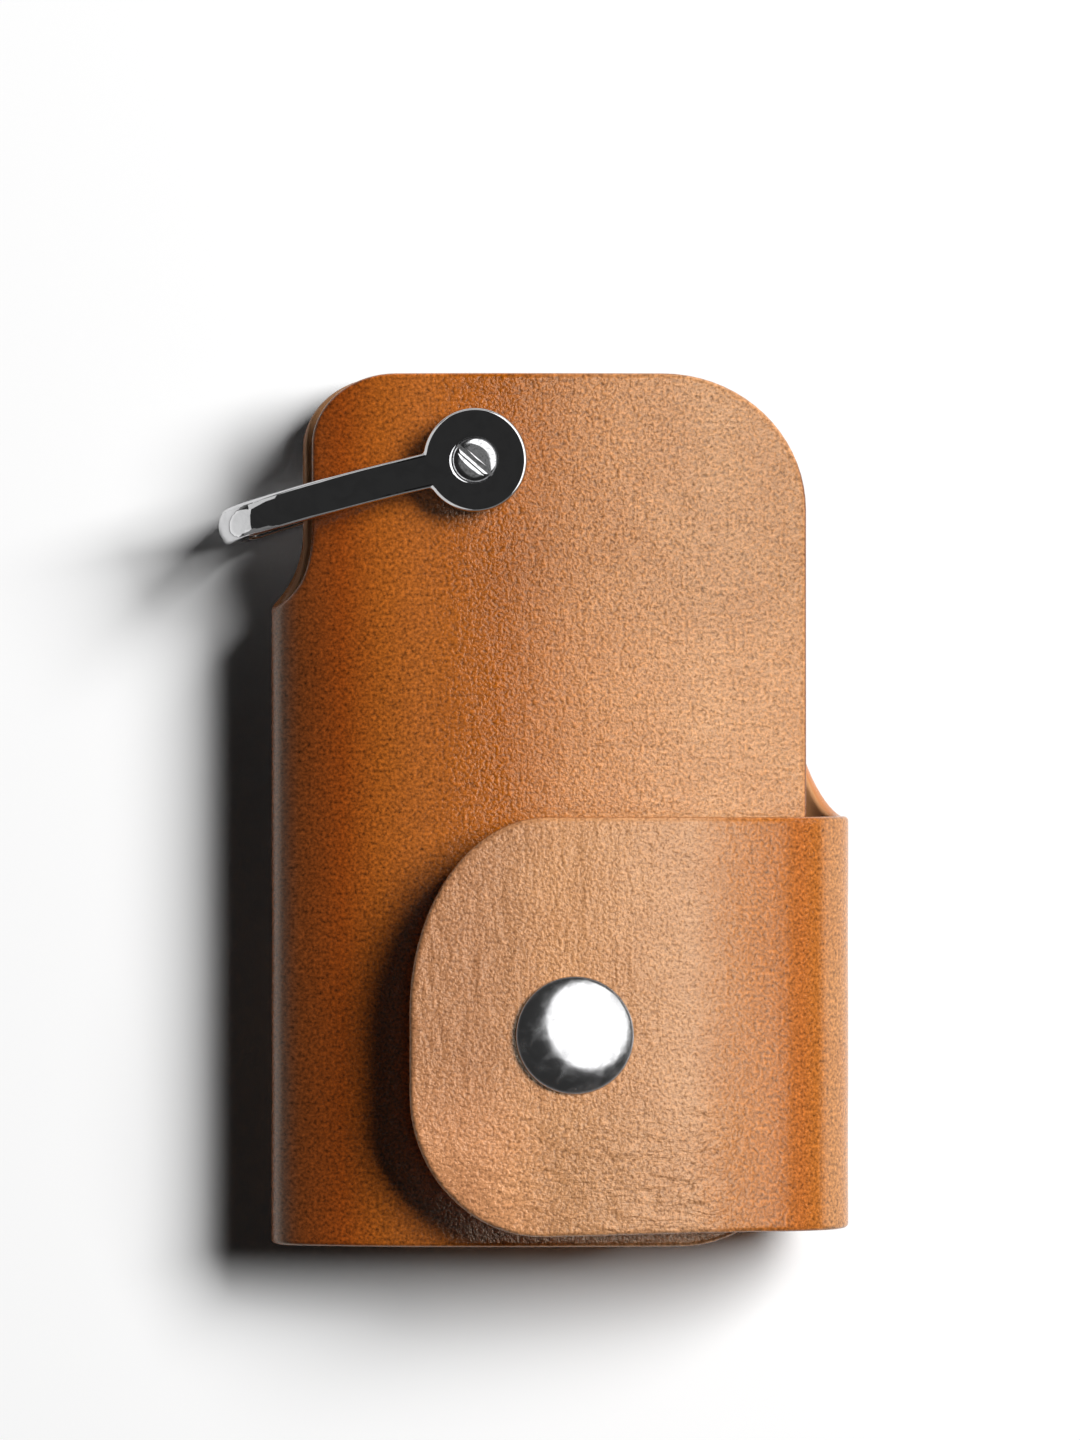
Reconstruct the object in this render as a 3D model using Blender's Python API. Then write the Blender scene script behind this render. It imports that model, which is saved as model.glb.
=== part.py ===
"""Key wrap: one leather sheet folded round loose keys, held by a shackle and its screw, and shut by a snap.

The part lies on its back. X runs to the right, Y up the cover and Z out of the front panel.
While it is modelled, X starts at the spine, Y at the bottom edge and Z at the shackle's back arm.
The finished part is then moved so that the middle of its footprint is the origin.
"""

import math

import bmesh
import bpy
from mathutils import Matrix, Vector

# Leather sheet, in metres
LEATHER = 0.0018
COVER_HEIGHT = 0.0927
FRONT_WIDTH = 0.0564
KEY_SPACE = 0.0060

# How far the front panel leans at the spine bend and at its free edge, in degrees
SPINE_SLOPE_DEGREES = 14.0
EDGE_SLOPE_DEGREES = 6.5

# Corners of the two panels: how far each runs sideways and how far it runs up
OUTER_CORNER_ACROSS = 0.0153
OUTER_CORNER_UP = 0.0145
INNER_CORNER_ACROSS = 0.0090
INNER_CORNER_UP = 0.0076
FOOT_CORNER = 0.0135

# Notch in the spine for the shackle
NOTCH_DEPTH = 0.0246
NOTCH_ROUND = 0.0080
NOTCH_FRONT_INSET = 0.0040
NOTCH_BACK_INSET = 0.0028

# Flap, whose fold starts a little inside the front panel's free edge
FOLD_INSET = 0.0020
FLAP_REACH = 0.0398
FLAP_BOTTOM = 0.0019
FLAP_TOP = 0.0455
FLAP_DROP = 0.0009
FLAP_DROP_START = 0.0070
FLAP_CORNER_ACROSS = 0.0144
FLAP_CORNER_TOP = 0.0204
FLAP_CORNER_BOTTOM = 0.0155
SHOULDER_ROUND = 0.0065
FOOT_RISE_LENGTH = 0.0080
FOOT_RISE_ROUND = 0.0035
SEAM_PAST_EDGE = 0.0007
SEAM = 0.0003

# Shackle
PIVOT_INSET = 0.0215
PIVOT_BELOW_TOP = 0.0093
SHACKLE_REACH = 0.0282
SHACKLE_WIDTH = 0.00375
SHACKLE_BAR = 0.0022
SHACKLE_ARCH = 0.0010
SHACKLE_REST_DEGREES = 13.0
EYE_RADIUS = 0.0055
BOW_RADIUS = 0.0042
RIM_ROUND = 0.00035

# Screw
SCREW_RADIUS = 0.0016
SCREW_HEAD_RADIUS = 0.0021
SCREW_HEAD = 0.0009
SCREW_HEAD_EDGE = 0.00042
SCREW_DOME = 0.00015
SCREW_DOME_SHOULDER = 0.00011
SLOT_WIDTH = 0.00048
SLOT_DEPTH = 0.00045
SLOT_TURN_DEGREES = -41.0
SINK_MARGIN = 0.0002
SINK_FLARE = 0.00045
SCREW_TIP_INSET = 0.0003

# Snap fastener, placed from the fold and from the bottom edge
SNAP_FROM_FOLD = 0.0223
SNAP_UP = 0.0227
CAP_RADIUS = 0.00625
CAP_HEIGHT = 0.0024
CAP_RIM = 0.0005
CAP_RIM_EDGE = 0.00025
RIVET_RADIUS = 0.0015
RIVET_FLARE = 0.0021
RIVET_HEAD = 0.00019
SOCKET_RADIUS = 0.0049
SOCKET_SHEET = 0.0004
SOCKET_EDGE = 0.0002
SOCKET_GROOVE = 0.0041
SOCKET_LIP = 0.00025
STUD_HEAD_RADIUS = 0.0028
STUD_NECK_RADIUS = 0.0023
STUD_BASE_RADIUS = 0.0045
STUD_SHEET = 0.00038
STUD_HEAD = 0.0005
STUD_HEAD_EDGE = 0.00017
STUD_HEAD_SLOPE = 0.00025
STUD_CLEARANCE = 0.0002
SPRING_WIRE = 0.0005
EYELET_RADIUS = 0.0040
EYELET_SHEET = 0.00035
EYELET_EDGE = 0.00017
EYELET_TUBE = 0.0014
EYELET_BORE = 0.0009
EYELET_LIP = 0.00025
EYELET_LIP_SLOPE = 0.00017

# Clearances
SEAT_GAP = 0.0003
THREAD_GAP = 0.00015
FINE_GAP = 0.00012
SPRING_GAP = 0.00006
PUNCH_GAP = 0.0004
CUT_MARGIN = 0.0010

# Facets
CORNER_STEPS = 8
BEND_STEP_DEGREES = 13.0
CROWN_STEP_DEGREES = 2.6
ROUND_STEPS = 32
EYE_STEPS = 48
BOW_STEPS = 7
RIM_STEPS = 2
WIRE_SIDES = 1
SMOOTH_DEGREES = 32.0
RIM_DEGREES = 40.0

# Points nearer than this are one point, on a finished mesh and on the flat pattern
SAME_POINT = 1e-7
PATTERN_POINT = 0.00003


def spine_and_crown():
    """Radii of the spine bend and of the front panel's left half, so that they meet smoothly."""
    slope = math.radians(SPINE_SLOPE_DEGREES)
    sine, cosine = math.sin(slope), math.cos(slope)
    height = 2 * LEATHER + KEY_SPACE
    share = (1 - sine) * (1 - cosine) - sine * (1 + cosine)
    spine = (PIVOT_INSET * (1 - cosine) - sine * height) / share
    crown = ((1 - sine) * height - (1 + cosine) * PIVOT_INSET) / share
    return spine, crown


SPINE_RADIUS, LEFT_CROWN = spine_and_crown()
RIGHT_CROWN = (FRONT_WIDTH - PIVOT_INSET) / math.sin(math.radians(EDGE_SLOPE_DEGREES))
BACK_FACE = SHACKLE_BAR + SEAT_GAP
CROWN_TOP = BACK_FACE + 2 * LEATHER + KEY_SPACE
FOLD_START = FRONT_WIDTH - FOLD_INSET
PIVOT = Vector((PIVOT_INSET, COVER_HEIGHT - PIVOT_BELOW_TOP, 0))
SNAP = Vector((FOLD_START - SNAP_FROM_FOLD, SNAP_UP, 0))


def front_height(x):
    """Height of the front panel's grain side at x, right of the pivot."""
    return CROWN_TOP - RIGHT_CROWN + math.sqrt(RIGHT_CROWN**2 - (x - PIVOT_INSET) ** 2)


# Heights in the snap, from the front panel up to the flap
STUD_FOOT = front_height(SNAP.x) + SEAT_GAP
SOCKET_FOOT = STUD_FOOT + STUD_SHEET + FINE_GAP
SPRING_HEIGHT = SOCKET_FOOT + SOCKET_LIP + SPRING_GAP + SPRING_WIRE / 2
STUD_HEAD_FOOT = SPRING_HEIGHT + SPRING_WIRE / 2 + SPRING_GAP
STUD_TOP = STUD_HEAD_FOOT + STUD_HEAD
RIVET_FOOT = STUD_TOP + STUD_CLEARANCE + RIVET_HEAD
SOCKET_TOP = RIVET_FOOT + FINE_GAP + SOCKET_SHEET
FLAP_FACE = SOCKET_TOP + SEAT_GAP + LEATHER

FOLD_RADIUS = (FLAP_FACE - BACK_FACE) / 2
FOLD_AXIS = Vector((FOLD_START, 0, BACK_FACE + FOLD_RADIUS))
SHACKLE_HEIGHT = CROWN_TOP + SEAT_GAP + SHACKLE_BAR


def arc(centre_x, centre_z, radius, start, end, step):
    """A bend of the sheet: its normal turns from start to end, in degrees, about the centre."""
    turn = math.radians(end - start)
    return {
        "length": (radius - LEATHER / 2) * turn,
        "centre": (centre_x, centre_z),
        "radius": radius,
        "start": math.radians(start),
        "turn": turn,
        "steps": max(1, math.ceil((end - start) / step)),
    }


def flat(x, z, heading, length):
    """A flat stretch of the sheet: heading is +1 to the right and -1 to the left."""
    return {"length": length, "from": (x, z), "heading": heading, "steps": 1}


def section():
    """The sheet's stretches in order, from the front panel's free edge round to the flap's."""
    up, down = 90.0, 270.0
    free_edge = up - EDGE_SLOPE_DEGREES
    bend_start = up + SPINE_SLOPE_DEGREES
    fold_x, fold_z = FOLD_AXIS.x, FOLD_AXIS.z
    spine_z = BACK_FACE + SPINE_RADIUS
    step = CROWN_STEP_DEGREES
    right_z, left_z = CROWN_TOP - RIGHT_CROWN, CROWN_TOP - LEFT_CROWN
    return {
        "front_right": arc(PIVOT_INSET, right_z, RIGHT_CROWN, free_edge, up, step),
        "front_left": arc(PIVOT_INSET, left_z, LEFT_CROWN, up, bend_start, step),
        "spine": arc(SPINE_RADIUS, spine_z, SPINE_RADIUS, bend_start, down, BEND_STEP_DEGREES),
        "back": flat(SPINE_RADIUS, BACK_FACE, 1, fold_x - SPINE_RADIUS),
        "fold": arc(fold_x, fold_z, FOLD_RADIUS, down, down + 180, BEND_STEP_DEGREES),
        "flap": flat(fold_x, FLAP_FACE, -1, FLAP_REACH),
    }


def stretch_starts(stretches):
    """Where each stretch starts along the flat pattern, and the pattern's whole length."""
    starts = {}
    length = 0.0
    for name, part in stretches.items():
        starts[name] = length
        length += part["length"]
    return starts, length


SECTION = section()
STARTS, SHEET_LENGTH = stretch_starts(SECTION)


def folded(along, up, depth):
    """Where a point of the flat pattern lies once the sheet is folded. Depth starts at the grain side."""
    name = [key for key, start in STARTS.items() if start <= along + SAME_POINT][-1]
    part = SECTION[name]
    beyond = along - STARTS[name]
    if "radius" in part:
        angle = part["start"] + part["turn"] * beyond / part["length"]
        reach = part["radius"] - depth
        x = part["centre"][0] + reach * math.cos(angle)
        return Vector((x, up, part["centre"][1] + reach * math.sin(angle)))
    x, z = part["from"]
    return Vector((x + part["heading"] * beyond, up, z + part["heading"] * depth))


def along_front(x):
    """Pattern length at which the front panel's left half is at x."""
    lean = math.asin((PIVOT_INSET - x) / LEFT_CROWN)
    return STARTS["front_left"] + (LEFT_CROWN - LEATHER / 2) * lean


def along_back(x):
    """Pattern length at which the back panel's spine end is at x."""
    lean = math.asin(max(0.0, SPINE_RADIUS - x) / SPINE_RADIUS)
    return STARTS["back"] - (SPINE_RADIUS - LEATHER / 2) * lean


def along_fold(x):
    """Pattern length at which the rising fold is at x, up to where it stands upright."""
    lean = math.asin((x - FOLD_AXIS.x) / FOLD_RADIUS)
    return STARTS["fold"] + (FOLD_RADIUS - LEATHER / 2) * lean


def along_flap(from_fold):
    return STARTS["flap"] + from_fold


BACK_EDGE = along_fold(FRONT_WIDTH)
FIRST_SEAM = BACK_EDGE + SEAM_PAST_EDGE
SECOND_SEAM = STARTS["flap"]


def pattern_corners():
    """Corners of the flat pattern, each with how far its rounding reaches back and forward."""
    notch_floor = COVER_HEIGHT - NOTCH_DEPTH
    notch_front = along_front(NOTCH_FRONT_INSET)
    notch_back = along_back(NOTCH_BACK_INSET)
    half_notch = (notch_back - notch_front) / 2
    rise_end = STARTS["fold"] - FOOT_RISE_LENGTH
    rise_start = rise_end - FOOT_RISE_LENGTH
    across, up = OUTER_CORNER_ACROSS, OUTER_CORNER_UP
    return [
        (0, 0, FOOT_CORNER, FOOT_CORNER),
        (rise_start, 0, FOOT_RISE_ROUND, FOOT_RISE_ROUND),
        (rise_end, FLAP_BOTTOM, FOOT_RISE_ROUND, FOOT_RISE_ROUND),
        (along_flap(FLAP_DROP_START), FLAP_BOTTOM, FOOT_RISE_ROUND, FOOT_RISE_ROUND),
        (SHEET_LENGTH, FLAP_BOTTOM - FLAP_DROP, FLAP_CORNER_ACROSS, FLAP_CORNER_BOTTOM),
        (SHEET_LENGTH, FLAP_TOP, FLAP_CORNER_TOP, FLAP_CORNER_ACROSS),
        (BACK_EDGE, FLAP_TOP, SHOULDER_ROUND, SHOULDER_ROUND),
        (BACK_EDGE, COVER_HEIGHT, up, across),
        (notch_back, COVER_HEIGHT, INNER_CORNER_ACROSS, INNER_CORNER_UP),
        (notch_back, notch_floor, NOTCH_ROUND, half_notch),
        (notch_front, notch_floor, half_notch, NOTCH_ROUND),
        (notch_front, COVER_HEIGHT, INNER_CORNER_UP, INNER_CORNER_ACROSS),
        (0, COVER_HEIGHT, across, up),
    ]


def rounded(corners, steps):
    """An outline through the corners, each turned by a quarter of an ellipse that is tangent to both edges."""
    points = []
    for i, (x, y, back, forward) in enumerate(corners):
        corner = Vector((x, y))
        before = (Vector(corners[i - 1][:2]) - corner).normalized() * back
        after = (Vector(corners[(i + 1) % len(corners)][:2]) - corner).normalized() * forward
        for step in range(steps + 1):
            angle = math.pi / 2 * step / steps
            points.append(
                corner + before * (1 - math.sin(angle)) + after * (1 - math.cos(angle))
            )
    return points


def new_object(name, bm, material=None):
    """The bmesh as an object with outward faces and smooth round sides."""
    bmesh.ops.remove_doubles(bm, verts=bm.verts, dist=SAME_POINT)
    bmesh.ops.recalc_face_normals(bm, faces=bm.faces)
    mesh = bpy.data.meshes.new(name)
    bm.to_mesh(mesh)
    bm.free()
    mesh.shade_smooth()
    mesh.set_sharp_from_angle(angle=math.radians(SMOOTH_DEGREES))
    obj = bpy.data.objects.new(name, mesh)
    bpy.context.scene.collection.objects.link(obj)
    if material:
        mesh.materials.append(material)
    return obj


def new_material(name, colour, roughness, metallic):
    """A plain material of the node's own."""
    material = bpy.data.materials.new(name)
    material.use_nodes = True
    shader = material.node_tree.nodes["Principled BSDF"]
    shader.inputs["Base Color"].default_value = (*colour, 1)
    shader.inputs["Roughness"].default_value = roughness
    shader.inputs["Metallic"].default_value = metallic
    return material


def leather(name):
    return new_material(name, (0.42, 0.17, 0.05), 0.55, 0.0)


def steel(name):
    return new_material(name, (0.62, 0.62, 0.63), 0.12, 1.0)


def plated(name):
    return new_material(name, (0.55, 0.55, 0.56), 0.22, 1.0)


def cutter(obj):
    obj.hide_render = True
    obj.display_type = "WIRE"
    return obj


def boolean(obj, other, operation):
    """Cuts, joins or crosses the object with a helper that isn't part of the model."""
    modifier = obj.modifiers.new(f"{operation.title()} {other.name}", "BOOLEAN")
    modifier.operation = operation
    modifier.solver = "EXACT"
    modifier.object = cutter(other)


def prism(name, outline, low, high, material=None):
    """A flat outline given a height along Z."""
    bm = bmesh.new()
    face = bm.faces.new([bm.verts.new((x, y, low)) for x, y in outline])
    grown = bmesh.ops.extrude_face_region(bm, geom=[face])["geom"]
    lifted = [item for item in grown if isinstance(item, bmesh.types.BMVert)]
    bmesh.ops.translate(bm, verts=lifted, vec=(0, 0, high - low))
    return new_object(name, bm, material)


def turned(name, profile, material=None, steps=ROUND_STEPS):
    """A closed profile of radii and heights, turned about Z."""
    bm = bmesh.new()
    points = [bm.verts.new((radius, 0, height)) for radius, height in profile]
    edges = [bm.edges.new(pair) for pair in zip(points, points[1:] + points[:1])]
    bmesh.ops.spin(
        bm,
        geom=points + edges,
        cent=(0, 0, 0),
        axis=(0, 0, 1),
        angle=2 * math.pi,
        steps=steps,
        use_merge=True,
    )
    bmesh.ops.remove_doubles(bm, verts=bm.verts, dist=SAME_POINT)
    loose = [edge for edge in bm.edges if not edge.link_faces]
    bmesh.ops.delete(bm, geom=loose, context="EDGES")
    return new_object(name, bm, material)


def moved(obj, offset):
    """Moves the shape within its mesh."""
    obj.data.transform(Matrix.Translation(offset))
    return obj


def hung(obj, parent):
    """Hangs an object whose shape is in cover coordinates on a parent whose origin may be elsewhere."""
    obj.data.transform(Matrix.Translation(-parent.location))
    obj.parent = parent
    return obj


def punch(name, centre, radius, low, high):
    """A round cutter through the sheet."""
    profile = [(0, low), (radius, low), (radius, high), (0, high)]
    return moved(turned(name, profile), (centre.x, centre.y, 0))


def leather_piece(name, start, end, material):
    """The part of the flat pattern between two lengths, cut out, given its thickness and folded."""
    bm = bmesh.new()
    bm.faces.new([bm.verts.new((x, y, 0)) for x, y in rounded(pattern_corners(), CORNER_STEPS)])
    trim(bm, start, (-1, 0, 0))
    trim(bm, end, (1, 0, 0))
    for key, part in SECTION.items():
        for step in range(part["steps"]):
            crease(bm, (STARTS[key] + part["length"] * step / part["steps"], 0, 0), (1, 0, 0))
    crease(bm, (0, COVER_HEIGHT - NOTCH_DEPTH, 0), (0, 1, 0))
    bmesh.ops.remove_doubles(bm, verts=bm.verts, dist=PATTERN_POINT)
    bmesh.ops.triangulate(bm, faces=bm.faces)
    grown = bmesh.ops.extrude_face_region(bm, geom=bm.faces[:])["geom"]
    for item in grown:
        if isinstance(item, bmesh.types.BMVert):
            item.co.z = LEATHER
    for vertex in bm.verts:
        vertex.co = folded(*vertex.co)
    return new_object(name, bm, material)


def trim(bm, along, direction):
    """Drops the pattern on the side that direction points to."""
    bmesh.ops.bisect_plane(
        bm,
        geom=bm.verts[:] + bm.edges[:] + bm.faces[:],
        dist=SAME_POINT,
        plane_co=(along, 0, 0),
        plane_no=direction,
        clear_outer=True,
    )


def crease(bm, point, direction):
    """A line of points across the pattern, where it may bend."""
    bmesh.ops.bisect_plane(
        bm,
        geom=bm.verts[:] + bm.edges[:] + bm.faces[:],
        dist=SAME_POINT,
        plane_co=point,
        plane_no=direction,
    )


def make_leather(root, flap_hinge):
    """The sheet in three: both panels with the spine, the fold that bends, and the flap."""
    wrap_end, fold_start = FIRST_SEAM - SEAM / 2, FIRST_SEAM + SEAM / 2
    fold_end, flap_start = SECOND_SEAM - SEAM / 2, SECOND_SEAM + SEAM / 2
    before, after = -CUT_MARGIN, SHEET_LENGTH + CUT_MARGIN
    wrap = leather_piece("cover_wrap", before, wrap_end, leather("wrap_leather"))
    fold = leather_piece("flap_fold", fold_start, fold_end, leather("fold_leather"))
    flap = leather_piece("flap", flap_start, after, leather("flap_leather"))
    screw_hole = SCREW_RADIUS + PUNCH_GAP
    stud_hole = EYELET_TUBE + PUNCH_GAP
    cap_hole = RIVET_RADIUS + PUNCH_GAP
    mid_keys = BACK_FACE + LEATHER + KEY_SPACE / 2
    low, high = BACK_FACE - CUT_MARGIN, CROWN_TOP + CUT_MARGIN
    screw_punch = punch("screw_punch", PIVOT, screw_hole, low, high)
    stud_punch = punch("stud_punch", SNAP, stud_hole, mid_keys, high)
    low, high = FLAP_FACE - LEATHER - CUT_MARGIN, FLAP_FACE + CUT_MARGIN
    cap_punch = punch("cap_punch", SNAP, cap_hole, low, high)
    boolean(wrap, screw_punch, "DIFFERENCE")
    boolean(wrap, stud_punch, "DIFFERENCE")
    boolean(flap, cap_punch, "DIFFERENCE")
    for piece in (wrap, fold, screw_punch, stud_punch):
        hung(piece, root)
    for piece in (flap, cap_punch):
        hung(piece, flap_hinge)


def shackle_side():
    """Side view of the shackle: X back from the pivot to the bow, Y as height."""
    far = SHACKLE_REACH
    bar, top = SHACKLE_BAR, SHACKLE_HEIGHT
    inner = BOW_RADIUS - bar
    start = -EYE_RADIUS - CUT_MARGIN
    outside = [
        (-start, 0, 0, 0),
        (-far, 0, BOW_RADIUS, BOW_RADIUS),
        (-far, top, BOW_RADIUS, BOW_RADIUS),
        (-start, top, 0, 0),
        (-start, top - bar, 0, 0),
        (-far + bar, top - bar, inner, inner),
        (-far + bar, bar, inner, inner),
        (-start, bar, 0, 0),
    ]
    return rounded(outside, BOW_STEPS)


def shackle_plan():
    """Plan of the shackle: the round eye and the gently arched arm, as one outline."""
    half = SHACKLE_WIDTH / 2
    join = math.asin(half / EYE_RADIUS)
    far = SHACKLE_REACH + CUT_MARGIN
    outline = []
    for step in range(EYE_STEPS + 1):
        angle = -math.pi + join + (2 * math.pi - 2 * join) * step / EYE_STEPS
        outline.append((EYE_RADIUS * math.cos(angle), EYE_RADIUS * math.sin(angle)))
    stations = [EYE_RADIUS + (far - EYE_RADIUS) * i / BOW_STEPS for i in range(1, BOW_STEPS + 1)]
    upper = [(-x, half - sag(x)) for x in stations]
    lower = [(-x, -half - sag(x)) for x in reversed(stations)]
    return outline + upper + lower


def sag(distance):
    """How far the arched arm has dropped at a distance from the pivot."""
    return SHACKLE_ARCH * max(0.0, (distance - EYE_RADIUS) / (SHACKLE_REACH - EYE_RADIUS)) ** 2


def clean_outline(points):
    """The outline without points that coincide, as where a corner isn't rounded."""
    kept = []
    for point in points:
        if not kept or (Vector(point) - Vector(kept[-1])).length > SAME_POINT:
            kept.append(tuple(point))
    return kept


def make_shackle(root):
    """Side view crossed with plan, its rims rounded and its eyes bored for the screw."""
    reach = EYE_RADIUS + CUT_MARGIN
    over = SHACKLE_HEIGHT + CUT_MARGIN
    outline = clean_outline(shackle_side())
    side = prism("shackle", outline, -reach, reach, steel("shackle_steel"))
    side.data.transform(Matrix.Rotation(math.pi / 2, 4, "X"))
    plan = prism("shackle_plan", shackle_plan(), -CUT_MARGIN, over)
    turn = Matrix.Rotation(math.radians(SHACKLE_REST_DEGREES), 4, "Z")
    for obj in (side, plan):
        obj.data.transform(turn)
        moved(obj, PIVOT)
    boolean(side, plan, "INTERSECT")
    rims = side.modifiers.new("Rounded rims", "BEVEL")
    rims.width = RIM_ROUND
    rims.segments = RIM_STEPS
    rims.limit_method = "ANGLE"
    rims.angle_limit = math.radians(RIM_DEGREES)
    bore = punch("screw_bore", PIVOT, SCREW_RADIUS + THREAD_GAP, -CUT_MARGIN, over)
    sink = head_sink()
    boolean(side, bore, "DIFFERENCE")
    boolean(side, sink, "DIFFERENCE")
    side.data.transform(Matrix.Translation(-PIVOT))
    side.location = PIVOT
    side.parent = root
    for helper in (plan, bore, sink):
        hung(helper, root)
    return side


def head_sink():
    """Cutter for the flared recess in the front eye that takes the screw's head."""
    seat = SHACKLE_HEIGHT - SCREW_HEAD - FINE_GAP
    over = SHACKLE_HEIGHT + CUT_MARGIN
    inner = SCREW_HEAD_RADIUS + SINK_MARGIN
    outer = inner + SINK_FLARE
    profile = [(0, seat), (inner, seat), (outer, SHACKLE_HEIGHT), (outer, over), (0, over)]
    return moved(turned("head_sink", profile), PIVOT)


def make_screw(shackle):
    """Slotted pin screw: its head sits in the front eye and its tip in the back eye."""
    seat = SHACKLE_HEIGHT - SCREW_HEAD
    rim = SHACKLE_HEIGHT - SCREW_DOME
    screw = turned(
        "key_screw",
        [
            (0, SCREW_TIP_INSET),
            (SCREW_RADIUS - RIM_ROUND, SCREW_TIP_INSET),
            (SCREW_RADIUS, SCREW_TIP_INSET + RIM_ROUND),
            (SCREW_RADIUS, seat),
            (SCREW_HEAD_RADIUS, seat),
            (SCREW_HEAD_RADIUS, rim),
            (SCREW_HEAD_RADIUS - SCREW_HEAD_EDGE, rim + SCREW_DOME_SHOULDER),
            (0, SHACKLE_HEIGHT),
        ],
        steel("screw_steel"),
    )
    reach = SCREW_HEAD_RADIUS + CUT_MARGIN
    half = SLOT_WIDTH / 2
    outline = [(-reach, -half), (reach, -half), (reach, half), (-reach, half)]
    slot = prism("screw_slot", outline, SHACKLE_HEIGHT - SLOT_DEPTH, SHACKLE_HEIGHT + CUT_MARGIN)
    slot.data.transform(Matrix.Rotation(math.radians(SLOT_TURN_DEGREES), 4, "Z"))
    boolean(screw, slot, "DIFFERENCE")
    screw.parent = shackle
    slot.parent = shackle


def make_cap(flap_hinge):
    """Domed cap on the flap with the rivet that holds the socket behind it."""
    base = FLAP_FACE + SEAT_GAP
    rise = CAP_HEIGHT - SEAT_GAP - CAP_RIM
    foot = RIVET_FOOT
    dome = []
    for step in range(1, CORNER_STEPS):
        angle = math.pi / 2 * step / CORNER_STEPS
        dome.append((CAP_RADIUS * math.cos(angle), base + CAP_RIM + rise * math.sin(angle)))
    profile = [
        (0, foot - RIVET_HEAD),
        (RIVET_FLARE, foot - RIVET_HEAD),
        (RIVET_FLARE, foot),
        (RIVET_RADIUS, foot),
        (RIVET_RADIUS, base),
        (CAP_RADIUS - CAP_RIM_EDGE, base),
        (CAP_RADIUS, base + CAP_RIM_EDGE),
        (CAP_RADIUS, base + CAP_RIM),
        *dome,
        (0, base + CAP_RIM + rise),
    ]
    cap = turned("snap_cap", profile, steel("cap_steel"), EYE_STEPS)
    hung(moved(cap, SNAP), flap_hinge)


def make_socket(flap_hinge):
    """Socket under the flap: a cup with a groove for the spring over a narrower lip."""
    top, lip = SOCKET_TOP, SOCKET_FOOT
    groove_top = SPRING_HEIGHT + SPRING_WIRE / 2 + FINE_GAP
    mouth = STUD_HEAD_RADIUS + PUNCH_GAP
    hole = RIVET_RADIUS + FINE_GAP
    profile = [
        (mouth, lip),
        (SOCKET_RADIUS - SOCKET_EDGE, lip),
        (SOCKET_RADIUS, lip + SOCKET_EDGE),
        (SOCKET_RADIUS, top),
        (hole, top),
        (hole, top - SOCKET_SHEET),
        (mouth, top - SOCKET_SHEET),
        (mouth, groove_top),
        (SOCKET_GROOVE, groove_top),
        (SOCKET_GROOVE, lip + SOCKET_LIP),
        (mouth, lip + SOCKET_LIP),
    ]
    socket = turned("snap_socket", profile, plated("socket_plate"))
    hung(moved(socket, SNAP), flap_hinge)


def spring_line():
    """Middle line of the hairpin: along one leg, round the bend and back along the other."""
    inside = STUD_NECK_RADIUS + FINE_GAP
    gap = inside + SPRING_WIRE / 2
    room = SOCKET_GROOVE - FINE_GAP
    bend = room - SPRING_WIRE / 2
    open_angle = math.asin(gap / bend)
    leg_end = -math.sqrt(room**2 - (inside + SPRING_WIRE) ** 2)
    points = [(leg_end, -gap)]
    for step in range(CORNER_STEPS + 1):
        angle = -open_angle + 2 * open_angle * step / CORNER_STEPS
        points.append((bend * math.cos(angle), bend * math.sin(angle)))
    points.append((leg_end, gap))
    return points


def make_spring(flap_hinge):
    """Hairpin spring in the socket's groove: its two legs grip the stud's neck."""
    curve = bpy.data.curves.new("snap_spring", "CURVE")
    curve.dimensions = "3D"
    curve.bevel_depth = SPRING_WIRE / 2
    curve.bevel_resolution = WIRE_SIDES
    curve.use_fill_caps = True
    points = spring_line()
    line = curve.splines.new("POLY")
    line.points.add(len(points) - 1)
    centre = SNAP - flap_hinge.location
    for knot, (x, y) in zip(line.points, points):
        knot.co = (centre.x + x, centre.y + y, centre.z + SPRING_HEIGHT, 1)
    spring = bpy.data.objects.new("snap_spring", curve)
    bpy.context.scene.collection.objects.link(spring)
    curve.materials.append(plated("spring_steel"))
    spring.parent = flap_hinge


def make_stud(root):
    """Stud on the front panel, with a neck for the spring and a bore for the eyelet."""
    foot, head, top = STUD_FOOT, STUD_HEAD_FOOT, STUD_TOP
    bore = EYELET_TUBE + FINE_GAP
    profile = [
        (bore, foot),
        (STUD_BASE_RADIUS, foot),
        (STUD_BASE_RADIUS, foot + STUD_SHEET),
        (STUD_NECK_RADIUS, foot + STUD_SHEET),
        (STUD_NECK_RADIUS, head),
        (STUD_HEAD_RADIUS, head + STUD_HEAD_EDGE),
        (STUD_HEAD_RADIUS, top - STUD_HEAD_EDGE),
        (STUD_HEAD_RADIUS - STUD_HEAD_SLOPE, top),
        (bore, top),
    ]
    stud = turned("snap_stud", profile, plated("stud_plate"))
    hung(moved(stud, SNAP), root)


def make_eyelet(root):
    """Eyelet from inside the pocket: its tube goes through the leather and up the stud."""
    under = front_height(SNAP.x) - LEATHER - SEAT_GAP
    profile = [
        (EYELET_BORE, under - EYELET_SHEET),
        (EYELET_RADIUS - EYELET_EDGE, under - EYELET_SHEET),
        (EYELET_RADIUS, under - EYELET_SHEET + EYELET_EDGE),
        (EYELET_RADIUS, under),
        (EYELET_TUBE, under),
        (EYELET_TUBE, STUD_TOP - EYELET_LIP),
        (EYELET_TUBE - EYELET_LIP_SLOPE, STUD_TOP),
        (EYELET_BORE, STUD_TOP),
    ]
    eyelet = turned("snap_eyelet", profile, plated("eyelet_plate"))
    hung(moved(eyelet, SNAP), root)


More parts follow.
